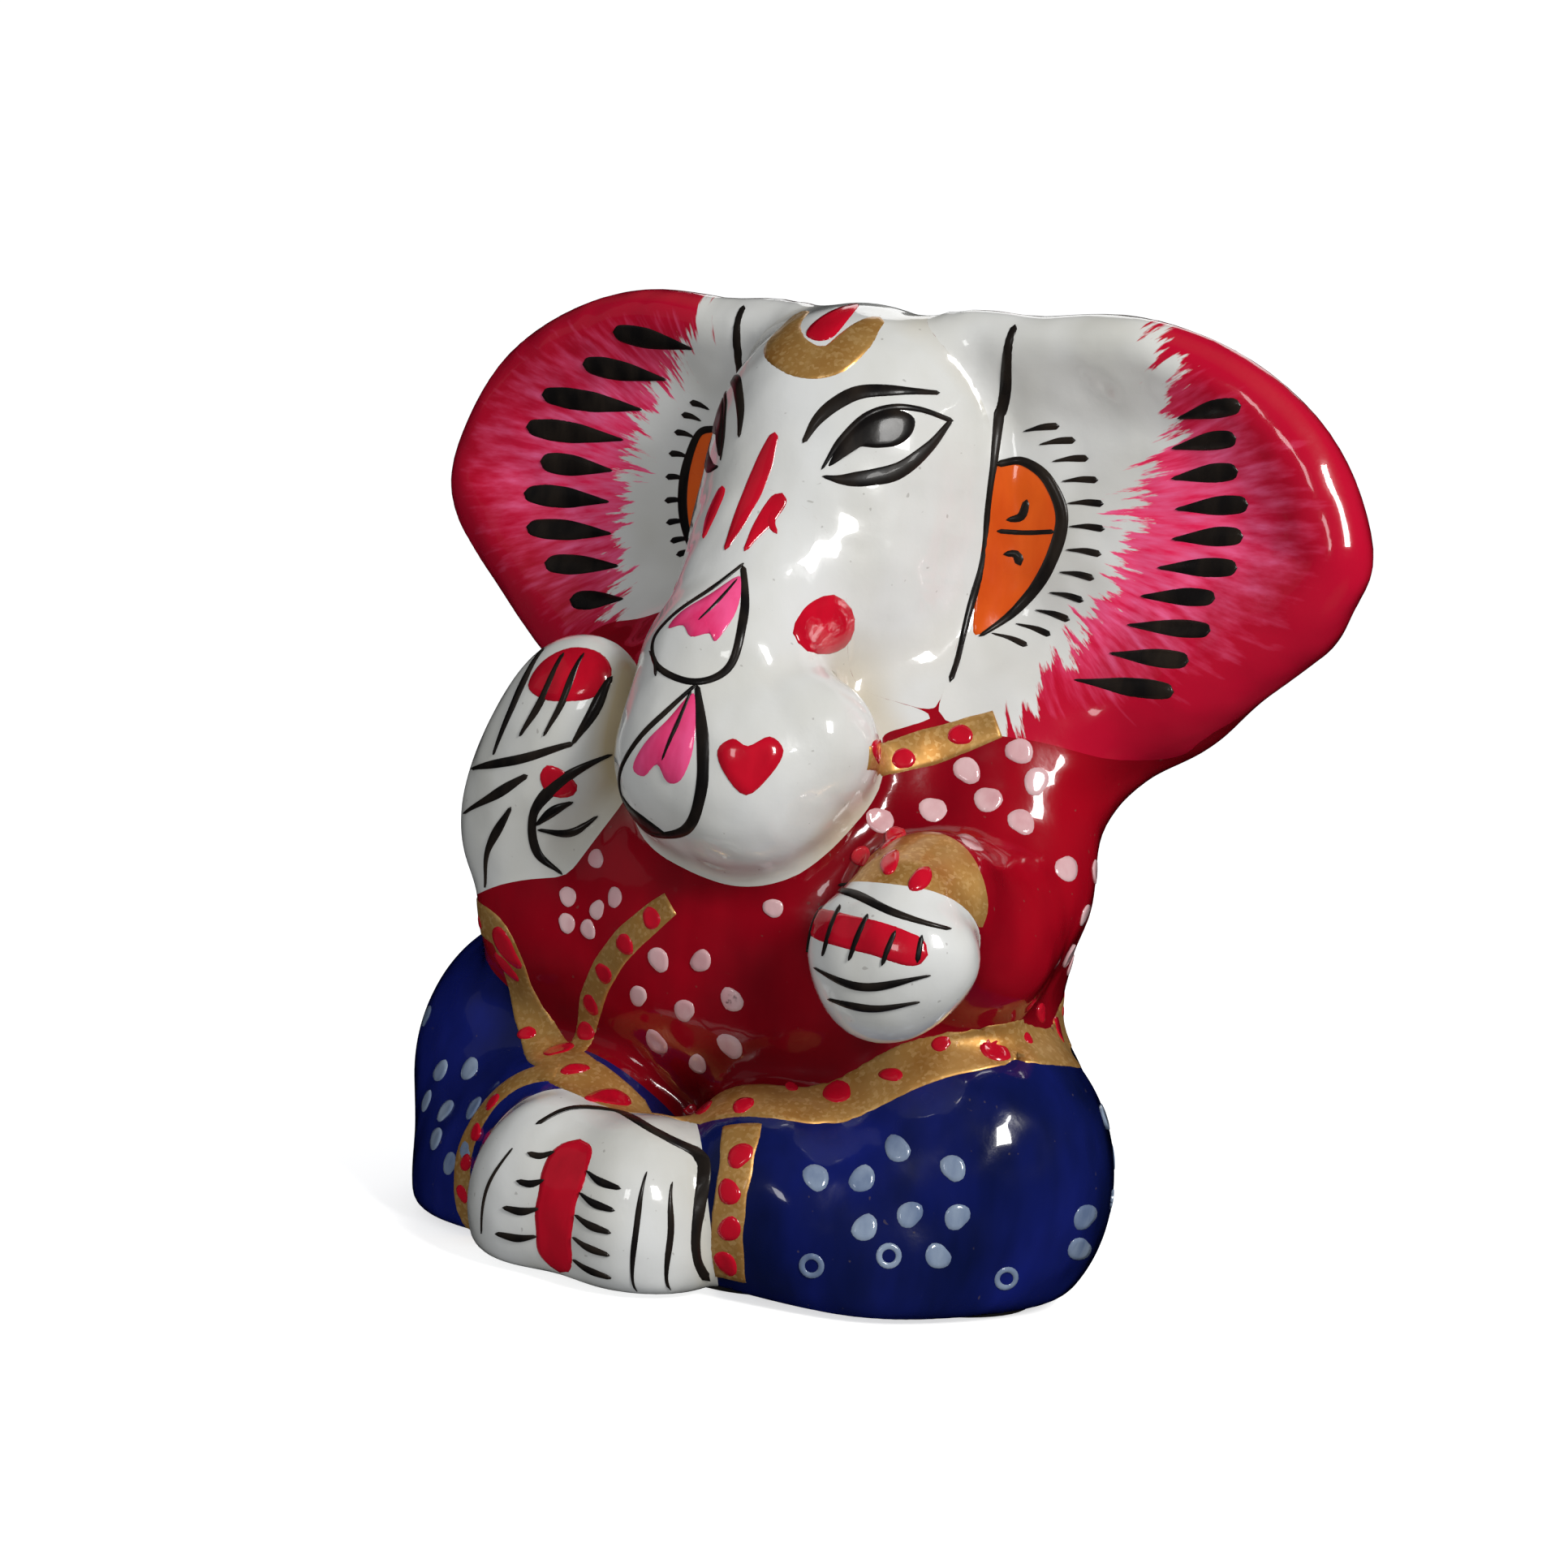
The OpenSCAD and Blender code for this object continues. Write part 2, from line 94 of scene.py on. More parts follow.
def new_object(name, verts, faces):
    mesh = bpy.data.meshes.new(name)
    mesh.from_pydata([tuple(v) for v in verts], [], [tuple(int(i) for i in f) for f in faces])
    mesh.update()
    mesh.shade_smooth()
    thing = bpy.data.objects.new(name, mesh)
    bpy.context.collection.objects.link(thing)
    return thing


def area_light(name, place, target, size, watts, tint=(1, 1, 1)):
    data = bpy.data.lights.new(name, "AREA")
    data.shape = "RECTANGLE"
    data.size, data.size_y = size
    data.energy = watts
    data.color = tint
    light = bpy.data.objects.new(name, data)
    light.location = place
    light.rotation_euler = (Vector(target) - Vector(place)).to_track_quat("-Z", "Y").to_euler()
    bpy.context.collection.objects.link(light)


make_camera()


# ---------- the casting as a distance field, in millimetres ----------


def smooth_min(a, b, k):
    h = np.clip(0.5 + 0.5 * (b - a) / k, 0, 1)
    return b + (a - b) * h - k * h * (1 - h)


def smooth_max(a, b, k):
    return -smooth_min(-a, -b, k)


def ramp(x, low, high):
    t = np.clip((x - low) / (high - low), 0, 1)
    return t * t * (3 - 2 * t)


def lump(p, centre, radii, lean=0.0):
    """Rounded lump of modelled form. Lean tips its top towards +X, in degrees."""
    q = p - np.array(centre)
    if lean:
        c, s = math.cos(math.radians(lean)), math.sin(math.radians(lean))
        q = np.stack([q[:, 0] * c - q[:, 2] * s, q[:, 1], q[:, 0] * s + q[:, 2] * c], axis=1)
    r = np.array(radii)
    near = np.linalg.norm(q / r, axis=1)
    slope = np.linalg.norm(q / (r * r), axis=1)
    return near * (near - 1) / np.maximum(slope, 1e-6)


def limb(p, a, b, r_a, r_b):
    """A round limb from a to b whose radius runs from r_a to r_b."""
    a, b = np.array(a), np.array(b)
    along = b - a
    t = np.clip((p - a) @ along / (along @ along), 0, 1)
    return np.linalg.norm(p - a - t[:, None] * along, axis=1) - (r_a + (r_b - r_a) * t)


def limbs(p, balls, k):
    d = None
    for (a, r_a), (b, r_b) in zip(balls, balls[1:]):
        part = limb(p, a, b, r_a, r_b)
        d = part if d is None else smooth_min(d, part, k)
    return d


def ripple(p, size, seed):
    """Slow bumps of about that size, from -1 to 1, the same each run."""
    wave = np.random.RandomState(seed).normal(size=(5, 3))
    wave *= (2 * math.pi / size) / np.linalg.norm(wave, axis=1)[:, None]
    phase = np.arange(5) * 1.7 + seed
    return np.sin(p @ wave.T + phase).sum(axis=1) / 5


def spline(a, b, c, d, t):
    """The smooth curve from b to c, with a before and d after them."""
    return 0.5 * (2 * b + (c - a) * t + (2 * a - 5 * b + 4 * c - d) * t**2
                  + (3 * b - a - 3 * c + d) * t**3)


def smooth_loop(points, n):
    """A closed smooth curve through the points, with n steps between two of them."""
    p = np.array(points, float)
    before, after, later = np.roll(p, 1, 0), np.roll(p, -1, 0), np.roll(p, -2, 0)
    t = (np.arange(n) / n)[None, :, None]
    return spline(*(x[:, None, :] for x in (before, p, after, later)), t).reshape(-1, 2)


def outline_distance(q, loop):
    """Distance of the flat points q to a closed outline, negative inside it."""
    best = np.full(len(q), 1e9)
    inside = np.zeros(len(q), bool)
    for a, b in zip(loop, np.roll(loop, -1, 0)):
        edge = b - a
        w = q - a
        t = np.clip(w @ edge / (edge @ edge), 0, 1)
        best = np.minimum(best, ((w - t[:, None] * edge) ** 2).sum(axis=1))
        if a[1] != b[1]:
            crosses = (a[1] > q[:, 1]) != (b[1] > q[:, 1])
            inside ^= crosses & (q[:, 0] < edge[0] * (q[:, 1] - a[1]) / (b[1] - a[1]) + a[0])
    return np.where(inside, -1, 1) * np.sqrt(best)


EAR_OUTLINE = smooth_loop([(5, 72), (14.4, 73.8), (22, 74.3), (29.4, 72.4), (36.2, 68), (40.2, 62),
                           (41.6, 56), (38, 50.8), (32.2, 46.0), (25, 42.2), (18, 42.2), (10, 45),
                           (5, 56)], 5)
EAR_SHIFT = 0.9  # the ears sit a little to the figure's left
UNDERSIDE = 0.3  # height of the casting's flat bottom, on its thin base


def ear(p):
    """Both dished ears. In front of the ear's middle plane the dish runs from its rim to its floor."""
    q = np.stack([np.abs(p[:, 0] - EAR_SHIFT), p[:, 2]], axis=1)
    edge = outline_distance(q, EAR_OUTLINE)
    forward = 0.8 + 0.1 * (q[:, 0] - 13) - p[:, 1]
    front = 2.5 - 2.2 * ramp(-edge, 2.0, 9.5)
    flat = smooth_max(forward - front, -forward - 3.0, 2.5)
    return smooth_max(flat, edge, 4.5)


def head(p):
    p = np.stack([np.where(p[:, 0] < 0, 1.13, 1.0) * p[:, 0], p[:, 1], p[:, 2]], axis=1)
    skull = lump(p, (0.2, 1.2, 59.5), (12, 12.8, 13.5))
    face = limb(p, (0.3, -1.4, 62), (0.3, -7.2, 51), 9.6, 7.6)
    cheeks = lump(np.abs(p * (1, 0, 0)) + p * (0, 1, 1), (4.0, -2.4, 51.6), (7.4, 7.8, 8.8))
    return smooth_min(smooth_min(skull, face, 4), cheeks, 4)


def trunk(p):
    return limbs(p, [((0.3, -7.0, 57), 5.8), ((0.5, -10.0, 51), 6.2), ((0.7, -14.6, 44.4), 6.6),
                     ((0.8, -16.8, 38.4), 6.8), ((4.6, -17.2, 37.4), 6.4), ((8.2, -15.4, 40.2), 5.3)], 2.5)


def torso(p):
    belly = lump(p, (0, -1.5, 25.5), (22.8, 17.5, 18))
    chest = lump(p, (0, 1.5, 39), (20, 12.5, 12))
    d = smooth_min(belly, chest, 5)
    for side, lift in ((-1, 2.0), (1, 0.9)):
        web = [((side * 18, 3.5, 39.5), 5.4), ((side * 27, 6, 45.6 + lift), 4),
               ((side * 36, 6.4, 52 + lift), 2.8)]
        d = smooth_min(d, limbs(p, web, 3), 4)
    return d


def leg(p, side):
    q = (p - (0.4, 0, 0)) * (side, 1, 1)
    rise = 1.3 if side < 0 else 0
    knee = lump(q, (18.6, -5.5, 9.2 + rise), (11.5, 11.5, 12 + rise))
    thigh = smooth_min(lump(q, (12.4, 3, 10), (11.8, 12, 12.2)), knee, 4)
    ankle = lump(q, (8.6, -15.8, 6.6), (8.6, 8.6, 8.2))
    shin = smooth_min(lump(q, (15.4, -10.6, 3.2), (10.0, 11.4, 9.6)), ankle, 4)
    return smooth_min(thigh, shin, 4)


def feet(p):
    left = lump(p, (-5.6, -22.2, 4.4), (6.6, 7.2, 8.2))
    return smooth_min(left, lump(p, (2.4, -22.6, 4.2), (6.4, 7.4, 8.2)), 4)


def left_sleeve(p):
    return limbs(p, [((17.4, 1, 40), 6), ((19, -3, 31), 5.6), ((19.6, -9, 27.4), 5.6),
                     ((19, -14, 30), 5.2)], 3)


def right_sleeve(p):
    return limbs(p, [((-17, 1, 40), 6), ((-18, -6, 31), 6), ((-14.4, -12.6, 24.4), 5.4),
                     ((-16.4, -13, 29.5), 5.4)], 3)


def left_cuff(p):
    return limb(p, (18.8, -15, 30.0), (19, -17.8, 29.6), 5.0, 4.7)


def left_hand(p):
    heel = lump(p, (18.6, -19, 24.4), (4.1, 4.3, 4.0))
    return smooth_min(lump(p, (19.3, -20, 27.1), (6.5, 4.9, 5.0)), heel, 3)


def right_hand(p):
    fingers = lump(p, (-12.9, -14.5, 40.2), (5.6, 4, 6), 22)
    palm = lump(p, (-16.2, -14.5, 32.6), (6.2, 4.6, 7.4), 22)
    return smooth_min(fingers, palm, 6)


FORMS = {
    "feet": feet,
    "left_hand": left_hand,
    "left_cuff": left_cuff,
    "right_hand": right_hand,
    "trunk": trunk,
    "head": head,
    "ears": ear,
    "left_leg": lambda p: leg(p, 1),
    "right_leg": lambda p: leg(p, -1),
    "left_sleeve": left_sleeve,
    "right_sleeve": right_sleeve,
    "torso": torso,
}
# How widely each form runs into the ones before it.
SOFTNESS = {"torso": 0, "left_leg": 3.5, "right_leg": 3.5, "left_sleeve": 3.5, "right_sleeve": 3.5,
            "ears": 4, "head": 3, "trunk": 2.5, "left_cuff": 1.5, "left_hand": 1.2, "right_hand": 1.5,
            "feet": 1.2}


def warp(p):
    """The hand-made irregularity of the whole figure."""
    shift = np.stack([ripple(p, 34, 3), ripple(p, 34, 5), ripple(p, 34, 8)], axis=1) * 0.45
    return p + shift + 0.12 * np.stack([ripple(p, 11, 11), ripple(p, 11, 13), ripple(p, 11, 17)], axis=1)


def casting(p):
    q = warp(p)
    d = None
    for name, k in SOFTNESS.items():
        part = FORMS[name](q)
        d = part if d is None else smooth_min(d, part, k)
    return smooth_max(d, UNDERSIDE - p[:, 2], 1.6)


# ---------- meshing ----------


def field_on_grid(field, low, high, step):
    """The field on a grid. Far from the surface it is read from a coarse grid, which saves time."""
    coarse = 4
    counts = [int(math.ceil((b - a) / (coarse * step))) for a, b in zip(low, high)]
    rough_axes = [a + coarse * step * np.arange(n + 1) for a, n in zip(low, counts)]
    rough = field(np.stack(np.meshgrid(*rough_axes, indexing="ij"), axis=-1).reshape(-1, 3))
    rough = rough.reshape([n + 1 for n in counts])
    for axis in range(3):
        nodes = np.arange(rough.shape[axis] * coarse - coarse + 1) / coarse
        whole = np.minimum(nodes.astype(int), rough.shape[axis] - 2)
        part = (nodes - whole).reshape([-1 if a == axis else 1 for a in range(3)])
        rough = np.take(rough, whole, axis) * (1 - part) + np.take(rough, whole + 1, axis) * part
    near = np.abs(rough) < 1.6 * coarse * step
    rough[near] = field(np.array(low) + np.argwhere(near) * step)
    return rough


def neighbours(values, axis):
    """The grid without its last layer along the axis, and without its first."""
    here, there = [slice(None)] * 3, [slice(None)] * 3
    here[axis], there[axis] = slice(0, -1), slice(1, None)
    return values[tuple(here)], values[tuple(there)]


def surface_net(values, low, step):
    """Quads round the zero level of values on a grid: one vertex in each cell that the level crosses."""
    inside = values < 0
    cells = tuple(n - 1 for n in values.shape)
    total = np.zeros(cells + (3,))
    count = np.zeros(cells)
    for axis in range(3):
        others = [a for a in range(3) if a != axis]
        a, b = neighbours(values, axis)
        cross = np.not_equal(*neighbours(inside, axis))
        t = np.where(cross, a / np.where(cross, a - b, 1), 0)
        for i in (0, 1):
            for j in (0, 1):
                part = [slice(None)] * 3
                part[others[0]] = slice(i, i + cells[others[0]])
                part[others[1]] = slice(j, j + cells[others[1]])
                part = tuple(part)
                count += cross[part]
                total[..., axis] += t[part]
                total[..., others[0]] += i * cross[part]
                total[..., others[1]] += j * cross[part]
    live = count > 0
    index = np.full(cells, -1)
    index[live] = np.arange(live.sum())
    verts = np.argwhere(live) + total[live] / count[live][:, None]
    faces = []
    for axis in range(3):
        b, c = (axis + 1) % 3, (axis + 2) % 3
        first, last = neighbours(inside, axis)
        at = np.argwhere(first != last)
        at = at[(at[:, b] > 0) & (at[:, c] > 0) & (at[:, b] < cells[b]) & (at[:, c] < cells[c])]
        e_b, e_c = np.eye(3, dtype=int)[b], np.eye(3, dtype=int)[c]
        ring = [index[tuple((at - s * e_b - t * e_c).T)] for s, t in ((0, 0), (1, 0), (1, 1), (0, 1))]
        quad = np.stack(ring, axis=1)
        leaving = first[tuple(at.T)]
        faces.append(np.where(leaving[:, None], quad, quad[:, ::-1]))
    return np.array(low) + verts * step, np.concatenate(faces)


def slope(field, p):
    h = 0.04
    axes = np.eye(3) * h
    return np.stack([field(p + a) - field(p - a) for a in axes], axis=1) / (2 * h)


def relax(verts, faces, rounds):
    """Moves each vertex halfway to the mean of those it shares an edge with."""
    ends = np.concatenate([faces[:, [i, (i + 1) % 4]] for i in range(4)])
    degree = np.bincount(ends[:, 0], minlength=len(verts)) + np.bincount(ends[:, 1], minlength=len(verts))
    for _ in range(rounds):
        mean = [np.bincount(ends[:, 0], verts[ends[:, 1], a], len(verts))
                + np.bincount(ends[:, 1], verts[ends[:, 0], a], len(verts)) for a in range(3)]
        verts = verts + 0.5 * (np.stack(mean, axis=1) / degree[:, None] - verts)
    return verts


def settle(field, verts, faces, rounds):
    """Evens out the quads and brings their vertices back onto the field's surface."""
    for _ in range(rounds):
        verts = relax(verts, faces, 1)
        for _ in range(2):
            g = slope(field, verts)
            d = field(verts)
            verts = verts - (np.clip(d, -0.5, 0.5) / np.maximum((g * g).sum(axis=1), 0.2))[:, None] * g
    return verts


def mesh_field(name, field, low, high, step, rounds):
    values = field_on_grid(field, low, high, step)
    verts, faces = surface_net(values, low, step)
    return new_object(name, settle(field, verts, faces, rounds) * MM, faces)


# ---------- the casting's skin ----------

LOW, HIGH = (-46.2, -33.3, -3.1), (46, 22, 79)


class Skin:
    """The whole casting's surface, before it is cut into pieces."""

    def __init__(self, mesh):
        mesh.calc_loop_triangles()
        self.points = np.array([v.co for v in mesh.vertices]) / MM
        self.normals = np.array([n.vector for n in mesh.vertex_normals])
        self.corners = np.array([t.vertices for t in mesh.loop_triangles])
        self.tree = BVHTree.FromPolygons(self.points.tolist(), self.corners.tolist())

    def smooth_normals(self, found):
        """Normals blended between the corners of the triangles that were found, as (place, triangle)."""
        place = np.array([f[0] for f in found])
        corner = self.corners[[f[1] for f in found]]
        a, b, c = (self.points[corner[:, i]] for i in range(3))
        area = np.linalg.norm(np.cross(b - a, c - a), axis=1)
        w_a = np.linalg.norm(np.cross(b - place, c - place), axis=1) / area
        w_b = np.linalg.norm(np.cross(c - place, a - place), axis=1) / area
        weights = np.stack([w_a, w_b, np.maximum(1 - w_a - w_b, 0)], axis=1)
        normal = (self.normals[corner] * weights[:, :, None]).sum(axis=1)
        return place, normal / np.linalg.norm(normal, axis=1)[:, None]

    def land(self, points):
        """The nearest surface points and their smooth normals."""
        found = [self.tree.find_nearest(p) for p in np.asarray(points).tolist()]
        return self.smooth_normals([(f[0], f[2]) for f in found])

    def press(self, starts, direction):
        """Where rays from starts meet the surface."""
        found = []
        for start in starts.tolist():
            place, _, triangle, _ = self.tree.ray_cast(start, direction)
            if place is None:
                place, _, triangle, _ = self.tree.find_nearest(start)
            found.append((place, triangle))
        return self.smooth_normals(found)


whole = mesh_field("whole_casting", casting, LOW, HIGH, STEP, 2)
skin = Skin(whole.data)


# ---------- the pieces, cut where the paint changes ----------

CUT_STEP = 0.9


def ear_side(p, side):
    return np.maximum(ear(p), -side * (p[:, 0] - EAR_SHIFT))


def piece_fields():
    """Each piece's own form on one shared grid, and the grid's counts."""
    counts = [int(math.ceil((b - a) / CUT_STEP)) + 1 for a, b in zip(LOW, HIGH)]
    axes = [a + CUT_STEP * np.arange(n) for a, n in zip(LOW, counts)]
    q = warp(np.stack(np.meshgrid(*axes, indexing="ij"), axis=-1).reshape(-1, 3))
    forms = {name: form for name, form in FORMS.items() if name != "ears"}
    forms["left_ear"] = lambda p: ear_side(p, 1)
    forms["right_ear"] = lambda p: ear_side(p, -1)
    return {name: form(q).reshape(counts) for name, form in forms.items()}


# How far a piece's paint runs past the crease towards its neighbours, in millimetres.
PAINT_REACH = {"feet": 0.4, "left_hand": 0.3, "left_cuff": 0.2, "right_hand": 1.2, "trunk": 0.3,
               "head": 0.2, "right_leg": 0.6}
LAP_REACH, NECK_REACH = 2.4, -9.0  # the tunic's red runs down over the lap and stops short of the jaw
SEAT_REACH = 14.0  # behind, the trousers' blue closes under the waist border
CUT_ORDER = ["feet", "left_hand", "left_cuff", "right_hand", "trunk", "head", "left_ear", "right_ear",
             "left_leg", "right_leg", "left_sleeve", "right_sleeve"]


def cut(thing, cutter, operation):
    modifier = thing.modifiers.new("cut", "BOOLEAN")
    modifier.operation = operation
    modifier.solver = "MANIFOLD"
    modifier.object = cutter
    bpy.context.view_layer.update()
    graph = bpy.context.evaluated_depsgraph_get()
    mesh = bpy.data.meshes.new_from_object(thing.evaluated_get(graph))
    thing.modifiers.clear()
    return mesh


def carve():
    """Cuts the whole casting into its pieces and returns them by name."""
    fields = piece_fields()
    reached = {name: values - PAINT_REACH.get(name, 0) for name, values in fields.items()}
    height = LOW[2] + CUT_STEP * np.arange(fields["torso"].shape[2])
    across = LOW[0] + CUT_STEP * np.arange(fields["torso"].shape[0])
    depth = LOW[1] + CUT_STEP * np.arange(fields["torso"].shape[1])
    beside = ramp(across, -13, -9) * ramp(-across, -31, -27)
    neck = beside[:, None, None] * (ramp(height, 41, 43.5) * ramp(-depth, -9, -4)[:, None])
    seat = ramp(-height, -22, -20) * ramp(depth, 5, 9)[:, None]
    reached["torso"] = reached["torso"] - LAP_REACH * ramp(-height, -24, -19) + SEAT_REACH * seat
    for name in ("torso", "left_sleeve", "right_sleeve"):
        reached[name] = reached[name] - NECK_REACH * neck
    pieces = {}
    for name in CUT_ORDER:
        others = np.min([v for n, v in reached.items() if n != name], axis=0)
        own = reached[name] - others
        for axis in range(3):
            edge = [slice(None)] * 3
            for end in (0, -1):
                edge[axis] = end
                own[tuple(edge)] = np.maximum(own[tuple(edge)], 1)
        verts, faces = surface_net(own, LOW, CUT_STEP)
        cutter = new_object("cutter", relax(verts, faces, 2) * MM, faces)
        pieces[name] = bpy.data.objects.new(name, cut(whole, cutter, "INTERSECT"))
        whole.data = cut(whole, cutter, "DIFFERENCE")
        bpy.data.objects.remove(cutter)
        bpy.context.collection.objects.link(pieces[name])
    whole.name = "torso"
    pieces["torso"] = whole
    return pieces


pieces = carve()


def dress(thing):
    """Smooth normals from the uncut casting outside, flat ones on the cut walls, and how far into creases
    each point lies, for painted shade.
    """
    mesh = thing.data
    points = np.array([v.co for v in mesh.vertices]) / MM
    place, normal = skin.land(points)
    off = np.linalg.norm(place - points, axis=1)
    corner = np.array([loop.vertex_index for loop in mesh.loops])
    size = np.array([p.loop_total for p in mesh.polygons])
    face = np.array([p.normal for p in mesh.polygons])
    owner = np.repeat(np.arange(len(size)), size)
    start = np.concatenate([[0], np.cumsum(size)[:-1]])
    farthest = np.maximum.reduceat(off[corner], start)
    agrees = (normal[corner] * face[owner]).sum(axis=1)
    outside = (farthest[owner] < 0.03) & (agrees > 0.3)
    mesh.shade_smooth()
    mesh.normals_split_custom_set(np.where(outside[:, None], normal[corner], face[owner]).tolist())
    # Painted shade: points that other parts of the casting come close to in front are marked here, and the
    # materials darken them.
    hollow = 2.2
    crease_shade = np.clip(1 - casting(points + normal * hollow) / hollow, 0, 1)
    add_values(mesh, "crease_shade", crease_shade)
    return points, normal


def add_values(mesh, name, values):
    layer = mesh.attributes.new(name, "FLOAT", "POINT")
    layer.data.foreach_set("value", np.asarray(values, np.float32))


# Where the ears' pale middle ends, as (distance from the middle line, height).
PALE_NEAR = smooth_loop([(4, 84), (21, 76), (25.2, 68), (22.8, 61), (22, 55), (18.6, 48.6), (17, 41),
                         (4, 34)], 4)
PALE_FAR = smooth_loop([(4, 84), (14, 75), (16, 69), (20.6, 63), (21.8, 56), (21.4, 50), (18.6, 45),
                        (17, 38), (4, 34)], 4)


def ear_paint(mesh, points, normal, pale):
    q = warp(points)
    flat = np.stack([np.abs(q[:, 0] - EAR_SHIFT), q[:, 2]], axis=1)
    add_values(mesh, "brush", outline_distance(flat, pale))
    add_values(mesh, "rim", -outline_distance(flat, EAR_OUTLINE))
    spoke = flat - (10, 58)
    add_values(mesh, "spoke", np.arctan2(spoke[:, 1], spoke[:, 0]))
    add_values(mesh, "behind", ramp(normal[:, 1], -0.25, 0.15))


for name, thing in pieces.items():
    points, normal = dress(thing)
    if name == "left_ear":
        ear_paint(thing.data, points, normal, PALE_NEAR)
    if name == "right_ear":
        ear_paint(thing.data, points, normal, PALE_FAR)
    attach(thing, BODY)
    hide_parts(name)


# ---------- brush marks ----------

MARK_HEIGHT = 0.1
SUNK = 0.25


class Chart:
    """A flat sheet held in front of the casting. Marks are drawn on it and pressed onto the surface."""

    def __init__(self, place, turn=0.0, rise=0.0, reach=14.0, mirrored=False):
        t, r = math.radians(turn), math.radians(rise)
        self.outward = np.array([math.sin(t) * math.cos(r), -math.cos(t) * math.cos(r), math.sin(r)])
        self.across = np.array([math.cos(t), math.sin(t), 0])
        self.up = np.cross(self.outward, self.across)
        self.start = np.array(place, float) + reach * self.outward
        self.flip = np.array([-1, 1, 1]) if mirrored else np.ones(3)

    def press(self, flat):
        flat = np.asarray(flat, float)
        rays = self.start + flat[:, :1] * self.across + flat[:, 1:] * self.up
        return skin.press(rays * self.flip, tuple(-self.outward * self.flip))


def curve_through(points, step):
    """An open smooth curve through points of any dimension, with a vertex about every step."""
    p = np.array(points, float)
    p = np.concatenate([2 * p[:1] - p[1:2], p, 2 * p[-1:] - p[-2:-1]])
    out = []
    for a, b, c, d in zip(p, p[1:], p[2:], p[3:]):
        n = max(2, int(np.linalg.norm(c - b) / step))
        t = (np.arange(n) / n)[:, None]
        out.append(spline(a, b, c, d, t))
    return np.concatenate(out + [p[-2:-1]])


def close_shell(rows, closed):
    """Faces of a shell whose rows each run once round its section."""
    n, m = rows
    faces = []
    for i in range(n if closed else n - 1):
        k = (i + 1) % n
        faces += [(i * m + j, k * m + j, k * m + (j + 1) % m, i * m + (j + 1) % m) for j in range(m)]
    if not closed:
        half = m // 2
        for row, flip in ((0, False), (n - 1, True)):
            for j in range(half - 1):
                quad = (row * m + j, row * m + j + 1, row * m + m - 2 - j, row * m + m - 1 - j)
                faces.append(quad[::-1] if flip else quad)
    return faces


